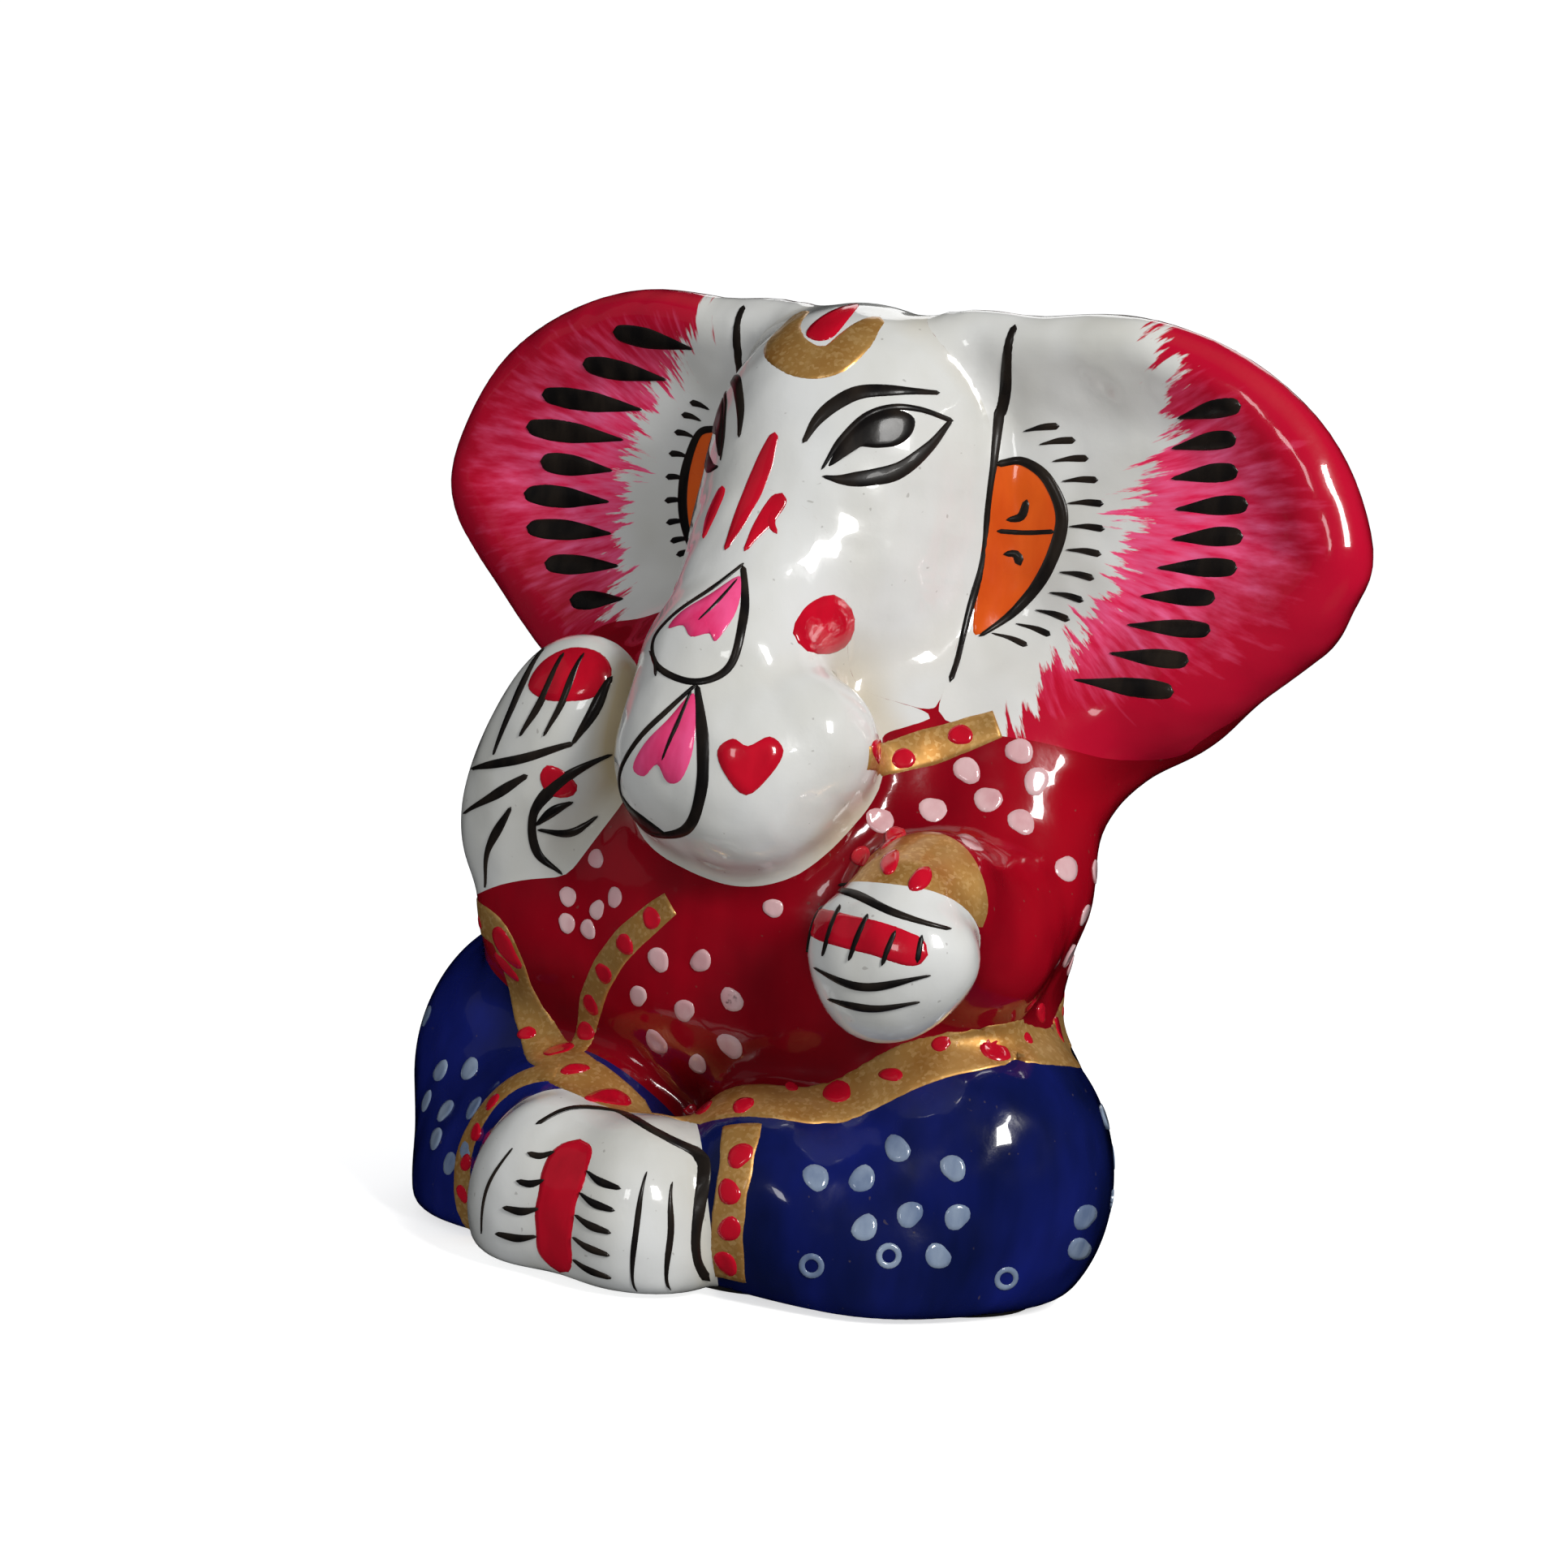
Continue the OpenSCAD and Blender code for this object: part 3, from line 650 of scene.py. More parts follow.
class Marks:
    """All the brush marks of one piece: thin solids that follow the surface."""

    def __init__(self):
        self.verts = []
        self.faces = []
        self.count = 0

    def add(self, verts, faces):
        self.verts.append(verts)
        self.faces += [tuple(self.count + i for i in f) for f in faces]
        self.count += len(verts)

    def band(self, line, widths, closed=False, blunt=True, height=MARK_HEIGHT, columns=5, wobble=0.05):
        """A stroke along a line of surface points. Widths are spread evenly over its length."""
        line = np.asarray(line, float)
        place, normal = skin.land(line)
        if closed:
            along = np.roll(place, -1, 0) - np.roll(place, 1, 0)
        else:
            along = np.concatenate([place[1:], place[-1:]]) - np.concatenate([place[:1], place[:-1]])
        side = np.cross(normal, along)
        side /= np.linalg.norm(side, axis=1)[:, None]
        share = np.linspace(0, 1, len(line))
        width = np.interp(share, np.linspace(0, 1, len(widths)), widths)
        if blunt and not closed:
            step = np.linalg.norm(np.diff(place, axis=0), axis=1)
            run = np.concatenate([[0], np.cumsum(step)])
            width = np.convolve(np.pad(width, 3, mode="edge"), np.full(7, 1 / 7), mode="valid")
            bluntness = np.clip(np.minimum(run, run[-1] - run) / (0.5 * width), 0, 1)
            width = np.maximum(width * np.sqrt(1 - (1 - bluntness) ** 2), 0.05)
        edge = np.stack([ripple(place, 2.6, 5), ripple(place, 2.6, 9)]) * wobble * width
        offsets = np.linspace(-1, 1, columns)
        offsets = np.sign(offsets) * np.abs(offsets) ** 0.6
        rise = np.where(np.abs(offsets) > 0.99, -0.04, height * (1 - 0.3 * offsets**2))
        tops, lows = [], []
        for o, lift in zip(offsets, rise):
            sway = edge[0] if o < 0 else edge[1]
            spot, out = skin.land(place + side * (0.5 * o * (width + sway))[:, None])
            tops.append(spot + out * lift)
            lows.append(spot - out * SUNK)
        rows = np.stack(tops + lows[::-1], axis=1)
        self.add(rows.reshape(-1, 3), close_shell(rows.shape[:2], closed))

    def stroke(self, chart, points, widths, **settings):
        line, _ = chart.press(curve_through(points, 0.24))
        self.band(line, widths, **settings)

    def patch(self, chart, outline, height=MARK_HEIGHT, steps=4):
        """A filled shape. Its outline is seen whole from its own middle."""
        loop = smooth_loop(outline, steps)
        middle = loop.mean(axis=0)
        count = len(loop)
        shares = (1, 0.93, 0.62, 0.3)
        flat = np.concatenate([middle + (loop - middle) * s for s in shares] + [middle[None]])
        place, normal = chart.press(flat)
        lift = np.repeat([-0.04, 0.75 * height, height, height], count)
        lift = np.append(lift, height)[:, None]
        tops, lows = place + normal * lift, place - normal * SUNK
        faces = []
        under = len(flat)
        for ring in range(len(shares) - 1):
            for i in range(count):
                k = (i + 1) % count
                a, b = ring * count + i, ring * count + k
                c, d = b + count, a + count
                faces += [(a, b, c, d), (under + d, under + c, under + b, under + a)]
        last = (len(shares) - 1) * count
        for i in range(count):
            k = (i + 1) % count
            faces.append((last + i, last + k, under - 1))
            faces.append((2 * under - 1, under + last + k, under + last + i))
            faces.append((k, i, under + i, under + k))
        self.add(np.concatenate([tops, lows]), faces)

    def spot(self, chart, centre, radius, height=MARK_HEIGHT, stretch=1.0, seed=0):
        """A dab of paint, a little out of round."""
        turn = np.arange(9) * 2 * math.pi / 9
        r = radius * (1 + 0.1 * np.sin(2 * turn + 3.1 * seed) + 0.06 * np.sin(3 * turn + 1.7 * seed))
        loop = np.stack([np.cos(turn) * r, np.sin(turn) * r * stretch], axis=1) + centre
        self.patch(chart, loop, height, 2)

    def ring(self, chart, centre, radius, width):
        turn = np.arange(20) * 2 * math.pi / 20
        loop = np.stack([np.cos(turn), np.sin(turn)], axis=1) * radius + centre
        line, _ = chart.press(loop)
        self.band(line, (width, width), closed=True)

    def finish(self, name, material):
        thing = new_object(name, np.concatenate(self.verts) * MM, self.faces)
        turn_outward(thing)
        thing.data.materials.append(material)
        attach(thing, BODY)
        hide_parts(name)


def turn_outward(thing):
    work = bmesh.new()
    work.from_mesh(thing.data)
    bmesh.ops.recalc_face_normals(work, faces=work.faces)
    work.to_mesh(thing.data)
    work.free()


SLOTS = {part["node"]: part["material_slot"] for part in frame["record"]["subparts"]}

EAR_CHART = Chart((0, 0, 0), reach=7)
FACE_CHARTS = [Chart((6, -6, 60), 35, 5, mirrored=mirrored) for mirrored in (False, True)]
PALM_CHART = Chart((-15, -12, 36), -5, 5)
HAND_CHART = Chart((19, -18, 27), 12, 0)
SHOULDER_CHART = Chart((14, -2, 36), 40, 15)
BELLY_CHART = Chart((0, -8, 24), 5)
ON_PAINT = 0.15  # height of a stroke that crosses other paint
ON_GOLD = 0.17  # height of a dot on a gold border

MARKS = {}


def group(name):
    """The marks of one node."""
    return MARKS.setdefault(name, Marks())


def ear_strokes(side, strokes):
    """Dark teardrops fanned round the ear, pointed towards the head."""
    near = side > 0
    count = 10 if near else 9
    for i in range(count):
        share = i / (count - 1)
        if near:
            z, lean = 66.6 - 20 * share, 1.3 - 1.3 * share
            inner = 27 - 5.5 * share**4 + 0.5 * math.sin(5 * i)
            length = 5.2 + 2.3 * share**2 + 0.4 * math.sin(3 * i)
            widths = (0.15, 0.85, 1.5, 1.7, 1.2)
        else:
            z, lean = 68.9 - 20.4 * share, 0.9 - 1.5 * share
            inner = 23.1 - (24.5 if share < 0.58 else 19) * (share - 0.58) ** 2
            length = (8, 8.2, 10, 10, 7.8, 8.8, 8.2, 6.6, 5)[i]
            widths = (0.15, 1.1, 1.9, 2.1, 1.4)
        ends = [(side * inner, z), (side * (inner + 0.55 * length), z + 0.62 * lean),
                (side * (inner + length), z + lean)]
        strokes.stroke(EAR_CHART, ends, widths)


def ear_ticks(side, ticks):
    """Short dabs in an arc round the ear's opening."""
    count = 12 if side > 0 else 9
    for i in range(count):
        angle = math.radians(66 - 132 * i / (count - 1))
        inner = (side * (11.6 + 7.6 * math.cos(angle)), 57 + 8.4 * math.sin(angle))
        if side < 0:
            inner = (side * (12.4 + 3.0 * math.cos(angle)), 58.6 + 6.2 * math.sin(angle))
        reach = 2.8 if side > 0 else 2.0
        outer = (inner[0] + side * reach, inner[1] + 0.25 * math.sin(angle) * reach)
        middle = ((inner[0] + outer[0]) / 2, (inner[1] + outer[1]) / 2 + 0.1)
        ticks.stroke(EAR_CHART, [inner, middle, outer], (0.12, 0.25, 0.55, 0.75, 0.5))


# Outlines of the ears' orange openings. The first seven points of each also carry a black line.
OPENINGS = {
    "left": [(13.2, 62), (14.9, 62.4), (17, 61.2), (18.5, 58.4), (17.8, 54.7), (15.9, 51.4), (14, 49),
             (13.3, 50), (13, 54), (13, 58)],
    "right": [(-12.8, 62.8), (-14.4, 62.3), (-15.3, 60), (-15.5, 57.5), (-15, 55), (-13.8, 52.8),
              (-12.8, 52.4), (-12.6, 58)],
}


def ear_marks():
    for side, word in ((1, "left"), (-1, "right")):
        ear_strokes(side, group(word + "_ear_strokes"))
        ticks = group(word + "_ear_ticks")
        ear_ticks(side, ticks)
        group(word + "_ear_opening").patch(EAR_CHART, OPENINGS[word])
        ticks.stroke(EAR_CHART, OPENINGS[word][:7], (0.6, 0.9, 1.15, 1.25, 1.2, 0.9, 0.3), height=0.16)
    for line, widths in (([(13.7, 57), (15.8, 57.1), (18.1, 57.4)], (0.5, 0.5, 0.45)),
                         ([(14.2, 57.9), (15.3, 58.3), (15.6, 59.6)], (0.2, 1.3, 0.5)),
                         ([(14.3, 55.3), (15.2, 55.4), (15.7, 54.6)], (0.2, 1.2, 1.1))):
        group("left_ear_ticks").stroke(EAR_CHART, line, widths, height=0.17)


def temple_marks():
    """The line down each side of the face, nearer the middle on the figure's right."""
    for side_scale in (1, -0.75):
        line = [(13.8, -0.8, 72.5), (13.4, -0.7, 68.3), (13, -0.5, 63.7), (13.1, -0.9, 59),
                (13.2, -1, 54.7), (13, -2, 51), (13.3, -3.7, 47.3), (13.6, -5.1, 45.5)]
        line = [(side_scale * x, y, z) for x, y, z in line]
        group("temple_lines").band(curve_through(line, 0.4), (0.6, 1.1, 0.9, 0.6, 0.6, 0.8, 0.5, 0.5))


def eye_marks():
    eyes, brows = group("eyes"), group("brows")
    for face in FACE_CHARTS:
        eyes.stroke(face, [(-4.4, 0), (-3.2, 2.3), (-1.5, 4.3), (0.5, 5.2), (2.7, 5.3), (5.3, 4.8)],
                    (0.2, 0.6, 0.55, 0.6, 0.5, 0.5))
        eyes.stroke(face, [(-4.3, -0.5), (-2.7, -0.6), (-0.6, -0.2), (1.5, 0.6), (3.6, 2.6), (5.2, 4.9)],
                    (0.15, 1.3, 1.5, 1.3, 0.85, 0.4))
        eyes.patch(face, [(-4, 0.3), (-2.9, 2.6), (-1, 4.5), (1, 5.1), (2.3, 4.6), (2.2, 3.4), (1.2, 2.4),
                          (-0.4, 2), (-1.9, 1.9), (-3, 0.9)], height=0.14)
        brows.stroke(face, [(-5.9, 1.9), (-5, 3.7), (-3.7, 5.1), (-2, 6.1), (0.5, 6.5), (4.1, 6.8)],
                     (0.35, 1.15, 1.35, 1.2, 0.7, 0.4))


def brow_and_nose_marks():
    """The gold mark and red drop between the brows, and the red strokes down the nose."""
    front = Chart((0, 0, 64), 0, 28)
    group("forehead_mark").stroke(
        front, [(-4, 6.2), (-3, 2.6), (-1.3, 0.5), (1, -0.6), (2.9, 0), (3.6, 2.1), (3.6, 5.6)],
        (1.9, 3.6, 4.0, 3.9, 3.6, 3.2, 1.4), height=0.07)
    group("forehead_drop").patch(
        front, [(-0.5, 2.3), (0.8, 1.4), (1.9, 1.8), (2.1, 3.2), (1.6, 5.6), (0.5, 7.4), (-0.3, 5.2)],
        height=0.14)
    nose = group("nose_strokes")
    bridge = Chart((0, -8, 57), 0, 12)
    nose.stroke(bridge, [(0.5, 4.8), (0.2, 2), (-0.1, -1), (-0.2, -4.9)], (0.8, 1.7, 2.0, 1.8, 1.3, 0.35))
    nose.stroke(bridge, [(2.4, 0.2), (2, -1.6), (1.6, -3.2), (1.4, -4.8)], (1.3, 1.8, 1.6, 0.9, 0.3))
    nose.stroke(bridge, [(2.1, -1.5), (2.5, -2.4), (3.1, -3)], (0.9, 0.8, 0.2))
    nose.stroke(bridge, [(-3.2, 0.4), (-3.4, -1.8), (-3, -4)], (1.2, 1.9, 1.6, 0.3))


def trunk_marks():
    snout = Chart((0, -12, 44), 10, 5)
    petals, outlines = group("trunk_petals"), group("trunk_outlines")
    petals.patch(snout, [(0.9, 7.6), (-0.7, 5.9), (-2.6, 4.3), (-3.3, 3), (-1.9, 3.3), (-0.9, 2.5),
                         (0.5, 2.9), (1.2, 2.4), (1.9, 4.4), (1.6, 6.4)])
    petals.patch(snout, [(0.4, -1.4), (-1.1, -3.6), (-2.8, -5.6), (-3.8, -7.5), (-2.6, -8), (-1.4, -7),
                         (-0.4, -8.2), (0.8, -7.9), (1.5, -6), (1.3, -3.6)])
    outlines.stroke(snout, [(0.9, 8.5), (-0.9, 6.2), (-3.3, 3.9), (-4.5, 2), (-3.4, 0.2), (-0.3, -0.7),
                            (1.8, -0.1), (2.7, 1.6), (2.4, 4.8), (0.9, 8.3)],
                    (0.25, 0.5, 0.4, 0.55, 0.6, 0.7, 0.8, 0.5))
    outlines.stroke(snout, [(0.4, -0.9), (-1.4, -3.1), (-3.6, -5.6), (-5.6, -8.5), (-5.4, -11),
                            (-2.8, -12.1), (0.9, -11.4), (2.4, -8.8), (2.2, -5.3), (0.5, -0.9)],
                    (0.3, 0.6, 0.5, 0.55, 0.7, 0.8, 1.0, 1.1, 1.1, 0.4))
    outlines.stroke(snout, [(0.9, 7.2), (0.2, 5.2), (-0.6, 3.8)], (0.15, 0.45, 0.15), height=ON_PAINT)
    outlines.stroke(snout, [(0.2, -1.4), (-0.2, -4), (-0.9, -6.6)], (0.2, 0.5, 0.2), height=ON_PAINT)
    outlines.patch(snout, [(-5.8, -9.5), (-5.6, -11.2), (-3.4, -12.1), (-1, -12.1), (-2.8, -11),
                           (-4.4, -10.3)])
    outlines.stroke(snout, [(-4.6, 1.2), (-3.7, 0.5), (-3.2, -0.6)], (0.2, 0.6, 0.2), height=0.12)
    group("trunk_tip_spot").patch(
        snout, [(3.3, -5.4), (4.2, -4.4), (5.4, -4.8), (6.7, -3.9), (7.8, -4.8), (7.3, -6.6), (5.8, -8.4),
                (4.1, -7)], height=0.16)
    for face in FACE_CHARTS:
        group("cheek_spots").spot(face, (-3.2, -11.6), 2.45, height=0.16, stretch=0.92, seed=2)


def right_palm_marks():
    """The raised palm: finger lines, creases and the leaf round its red spot."""
    lines = [([(-0.4, 8.4), (-0.8, 4.2), (-1.8, -0.2)], (0.3, 0.7, 0.5, 0.15)),
             ([(2.4, 8.2), (2, 4.6), (0.7, 1.5)], (0.3, 0.5, 0.55, 0.15)),
             ([(4, 8.4), (3.8, 4.8), (2.8, 1.8)], (0.15, 0.6, 0.4, 0.15)),
             ([(6.4, 7), (6, 4.2), (4.9, 1.5)], (0.3, 0.8, 0.6, 0.2)),
             ([(-4.8, -1.6), (1, -0.2), (5, 1.6)], (0.15, 0.5, 0.6, 0.5, 0.3)),
             ([(-5.2, -5.1), (-1.2, -3.2), (1.8, -1.3)], (0.12, 0.4, 0.7, 0.3)),
             ([(-2.3, -10.4), (-1.9, -7.6), (0.4, -3.9)], (0.12, 0.35, 0.7, 0.2)),
             ([(4.4, -8.4), (2.3, -7), (2.2, -4.2), (4.2, -1.4), (7, 1.2)],
              (0.12, 0.6, 0.5, 0.8, 0.6, 0.15)),
             ([(2.3, -5), (3.6, -3.7), (4.8, -2.8)], (0.12, 0.8, 0.12)),
             ([(2.4, -5.3), (4.4, -5.2), (6, -3.6)], (0.12, 0.6, 0.12))]
    for line, widths in lines:
        group("right_palm_marks").stroke(PALM_CHART, line, [1.4 * w for w in widths], height=ON_PAINT)
    soles = group("sole_marks")
    soles.patch(PALM_CHART, [(0, 5.4), (0.5, 7.4), (2.6, 8.8), (5, 8.7), (6.4, 7.2), (6, 5.3), (4.2, 4.6),
                             (2, 4.5)])
    soles.spot(PALM_CHART, (3.9, -1.5), 1.2, seed=1)


def left_palm_marks():
    """The lowered hand: a red strip crossed by finger lines, with creases under it."""
    lines = [([(-5.8, 3), (-6.1, -0.8)], (0.3, 0.9, 0.2)),
             ([(-3.6, 3), (-4.2, -0.6)], (0.3, 0.7, 0.2)),
             ([(-1.1, 2.8), (-1.9, -0.5)], (0.3, 0.65, 0.2)),
             ([(1.2, 2), (0.6, -0.5)], (0.3, 0.65, 0.2)),
             ([(3, 1.9), (3, 0)], (0.2, 0.8, 0.3)),
             ([(-5, -1.6), (-0.6, -2.2), (3.9, -0.8)], (0.12, 0.7, 0.7, 0.12)),
             ([(-3.6, -3.6), (0, -3.7), (3.2, -2.8)], (0.12, 0.8, 0.6, 0.12)),
             ([(-6.6, 3.4), (-3, 3.9), (0.6, 3.2), (4.6, 2.4)], (0.3, 0.8, 0.7, 0.3))]
    group("sole_marks").stroke(HAND_CHART, [(-7.4, 1.4), (-4, 1.5), (0, 1.3), (3.6, 0.6)],
                               (2.0, 2.7, 2.8, 2.8, 2.5))
    for line, widths in lines:
        group("left_palm_marks").stroke(HAND_CHART, line, widths, height=ON_PAINT)


def foot_marks():
    """The soles' red strip, toe dabs on both sides of it, and the long lines round the feet."""
    sole = Chart((-1.4, -20, 6), 0, 10)
    group("sole_marks").stroke(sole, [(0.4, 3.2), (0.5, 0), (0.5, -3), (0.7, -6.4)],
                               (4.2, 4.6, 4.2, 4.0, 3.8))
    toes = group("toe_marks")
    for u, v in ((-3.2, 1.5), (-3.4, -0.6), (-4.2, -2.7), (-4.8, -4.7)):
        toes.stroke(sole, [(u, v), ((u - 1) / 2, v), (-1.1, v + 0.5)], (0.2, 0.8, 0.6, 0.15),
                    height=ON_PAINT)
    for i in range(5):
        v = 0.9 - 1.6 * i
        toes.stroke(sole, [(2.4, v + 0.3), (3.8, v - 0.2), (5.6, v - 0.4)], (0.12, 0.55, 0.8, 0.2),
                    height=ON_PAINT)
    for line, widths in (([(6.7, 2), (7.2, -2), (7, -6.5)], (0.15, 0.5, 0.5, 0.15)),
                         ([(8.2, 1.6), (9, -2), (8.8, -6)], (0.15, 0.6, 0.6, 0.2)),
                         ([(-4.6, 1.6), (-6, -1.6), (-6.4, -5)], (0.15, 0.4, 0.15)),
                         ([(-3.7, 3.6), (-1.8, 5.4), (2.9, 5.4), (7.4, 4.2), (9.2, 3), (9.8, 0),
                           (10.1, -5)], (0.4, 0.8, 0.9, 1.0, 1.2, 1.0, 0.8))):
        toes.stroke(sole, line, widths)


# The waist border's middle line and width: over the lap from the figure's right to its left hip,
# then round the back.
WAIST = [(-7, -20, 14, 4.6), (-3.6, -20.2, 13.2, 5), (1.5, -19, 12.9, 5), (7.5, -19.2, 14, 5),
         (12.6, -17.8, 15.8, 4.8), (18.5, -13.8, 18.2, 4.4), (24.4, -8.4, 20.8, 4.2), (26, -1, 21, 4),
         (22.5, 10, 21, 4), (12, 16, 21, 4), (0, 17, 21, 4), (-12, 16, 21, 4), (-22.5, 10, 21.4, 4),
         (-24.4, 0, 22.6, 4), (-22.8, -8.6, 23.2, 3.4), (-19.6, -14.5, 23.8, 3), (-16.4, -18.2, 23, 2.8),
         (-15.2, -18, 20.8, 2.8), (-15, -16.2, 18.5, 2.8), (-14, -15.6, 16.2, 3),
         (-11.4, -17.4, 14.8, 3.6)]
WAIST_LINE = curve_through(WAIST + WAIST[:1], 0.5)[:-1]


def border_marks():
    group("waist_border").band(WAIST_LINE[:, :3], WAIST_LINE[:, 3], closed=True, columns=11, wobble=0.03)
    left_hem = [(9.2, -21.6, 12.8), (10.2, -23.8, 10.6), (10.5, -24.6, 7.6), (10.5, -24.4, 4.4),
                (10.3, -23.4, 1.6)]
    group("left_hem_border").band(curve_through(left_hem, 0.4), (3.4, 2.9, 2.7, 2.7, 2.8), columns=7,
                                  blunt=False)
    right_hem = [(-8, -20.4, 13.6), (-11.2, -20.4, 11), (-13, -21, 7.4), (-13.4, -21.4, 4),
                 (-13.2, -21, 1.4)]
    group("right_hem_border").band(curve_through(right_hem, 0.4), (2.4, 2.6, 2.4, 2.4, 2.4), columns=7,
                                   blunt=False)
    group("sleeve_border").stroke(
        BELLY_CHART, [(-9.6, -11), (-9.7, -9), (-9.4, -6.6), (-8.2, -4), (-5.6, -0.4), (-1.6, 3.4)],
        (2.0, 2.2, 2.6, 2.6, 2.6, 2.6, 2.2), blunt=False)
    group("collar_border").stroke(SHOULDER_CHART, [(-9.3, 1.2), (-6.5, 2.4), (-2.8, 3.8), (1.0, 5.4)],
                                  (2.0, 2.8, 3.2, 3.0, 2.6), blunt=False)


def border_dot_marks():
    """Red dots along every gold border and on the cuff."""
    dots = group("border_dots")
    line = WAIST_LINE[:, :3]
    along = np.cumsum(np.append(0, np.linalg.norm(np.diff(line, axis=0), axis=1)))
    count = 40
    for i in range(count):
        at = along[-1] * i / count
        place = np.array([np.interp(at, along, line[:, a]) for a in range(3)])
        turn = math.degrees(math.atan2(place[0], -(place[1] + 2)))
        chart = Chart(place, turn, 25 if place[1] < -6 else 0, reach=3)
        dots.spot(chart, (0, 0.9 * math.sin(4.1 * i)), 0.75 + 0.3 * math.sin(2.3 * i), height=ON_GOLD,
                  seed=i)
    for i in range(4):
        left_hem = Chart((10.4, -24, 11 - 2.6 * i), 10, 5, reach=6)
        dots.spot(left_hem, (0.2 * math.sin(4 * i), 0), 0.95, height=ON_GOLD, seed=i)
        right_hem = Chart((-12.2 - 0.3 * i, -21, 10.6 - 2.4 * i), -20, 5, reach=6)
        dots.spot(right_hem, (0, 0), 0.7, height=ON_GOLD, seed=i)
    for chart, radius, places in (
            (BELLY_CHART, 0.85, ((-9.6, -7.8), (-9, -5.6), (-7.3, -2.8), (-5.2, -0.2), (-3, 2.1))),
            (SHOULDER_CHART, 0.9, ((-5.8, 2.3), (-1.6, 4.4), (-8.3, 2.1))),
            (HAND_CHART, 0.75, ((-3.4, 7.2), (1.6, 5.4), (-5.4, 5.6), (-1, 6.2)))):
        for u, v in places:
            dots.spot(chart, (u, v), radius, height=ON_GOLD, seed=u)


# A flower of dots: one in the middle and the others in a ring round it.
PETALS = np.radians(np.arange(20, 380, 51.4))
ROSETTE = [(0, 0)] + [(4.2 * math.cos(a), 4.2 * math.sin(a)) for a in PETALS]


def tunic_dot_marks():
    tunic = group("tunic_dots")
    for chart, middle, size in ((BELLY_CHART, (0.2, -4.4), 1.0),
                                (Chart((0, 0, 34), 180, 5, 30), (0, 0), 1.1),
                                (Chart((0, 0, 30), 130, 5, 34), (0, 0), 1),
                                (Chart((0, 0, 30), -130, 5, 34), (0, 0), 1),
                                (Chart((0, 0, 28), 95, 0, 34), (0, 1), 1),
                                (Chart((0, 0, 28), -95, 0, 34), (0, 1), 1)):
        for i, (u, v) in enumerate(ROSETTE):
            tunic.spot(chart, (middle[0] + size * u, middle[1] + size * v), 0.9 + 0.12 * math.sin(3 * i),
                       seed=i)
    for u, v in ((0.4, -0.5), (-1.1, 1.7), (2.6, 3.3), (3.9, 1.1), (2.8, -2.1), (-1.6, -4.4),
                 (-3.6, -1.5), (6.4, -5.3), (-7.5, -2.6)):
        tunic.spot(SHOULDER_CHART, (u, v), 0.98, stretch=1.1, seed=u)
    for u, v in ((6.7, 4.2), (-11.1, 2.5), (-9.3, 5.6), (-10.9, 0.5), (-9, 0.3), (-8.3, 1.9), (-6.7, 3.1)):
        tunic.spot(BELLY_CHART, (u, v), 0.75, seed=u)


def leg_dot_marks():
    leg_dots = group("leg_dots")
    knee = Chart((14, -6, 8), 30, 5, reach=40)
    for i, place in enumerate(((0.6, -1), (-0.7, 3.4), (-3, 1.1), (3.4, 2.5), (4, -0.9), (2.9, -3.8),
                               (-2.5, -2.2), (-6.3, 0.9), (13.5, -0.6), (13.4, -3.1))):
        leg_dots.spot(knee, place, 0.95, seed=i)
    for place in ((-6, -5.3), (-0.6, -4), (8.1, -5.3)):
        leg_dots.ring(knee, place, 0.7, 0.5)
    far_knee = Chart((-16, -8, 8), -30, 5, reach=40)
    for i, place in enumerate(((-5.8, 5.6), (3.3, 3.1), (-0.1, 2.2), (7.4, 0.8), (3.3, -0.3), (9.2, -2.2),
                               (-0.8, -0.4), (4, -2.4), (7.4, -3.6))):
        leg_dots.spot(far_knee, place, 0.9, seed=i)
    for x, turn in ((0, 85), (12, 180), (-12, 180), (0, -85)):
        chart = Chart((x, 3, 9), turn, 5, reach=30)
        for i, (u, v) in enumerate(ROSETTE):
            leg_dots.spot(chart, (0.9 * u, 0.9 * v), 1.0, seed=i + turn + x)


ear_marks()
temple_marks()
eye_marks()
brow_and_nose_marks()
trunk_marks()
right_palm_marks()
left_palm_marks()
foot_marks()
border_marks()
border_dot_marks()
tunic_dot_marks()
leg_dot_marks()


# ---------- enamel and gold ----------


def node(tree, kind, inputs=None, **settings):
    made = tree.nodes.new("ShaderNode" + kind)
    for key, value in settings.items():
        setattr(made, key, value)
    for key, value in (inputs or {}).items():
        if isinstance(value, bpy.types.NodeSocket):
            tree.links.new(value, made.inputs[key])
        else:
            made.inputs[key].default_value = value
    return made


def mixed(tree, share, a, b):
    """Colour a where share is 0, b where it is 1."""
    return node(tree, "Mix", {0: share, 6: a, 7: b}, data_type="RGBA").outputs[2]


def remap(tree, value, low, high, to_low=0.0, to_high=1.0):
    return node(tree, "MapRange", {0: value, 1: low, 2: high, 3: to_low, 4: to_high}).outputs[0]


def noise(tree, place, scale, detail=2.0, rough=0.5):
    settings = {"Vector": place, "Scale": scale, "Detail": detail, "Roughness": rough}
    return node(tree, "TexNoise", settings).outputs[0]


def stored(tree, name):
    """A value that the mesh carries at each vertex."""
    return node(tree, "Attribute", attribute_name=name).outputs["Fac"]


def maths(tree, operation, a, b):
    return node(tree, "Math", {0: a, 1: b}, operation=operation).outputs[0]


def rgba(colour):
    return (*colour, 1.0)


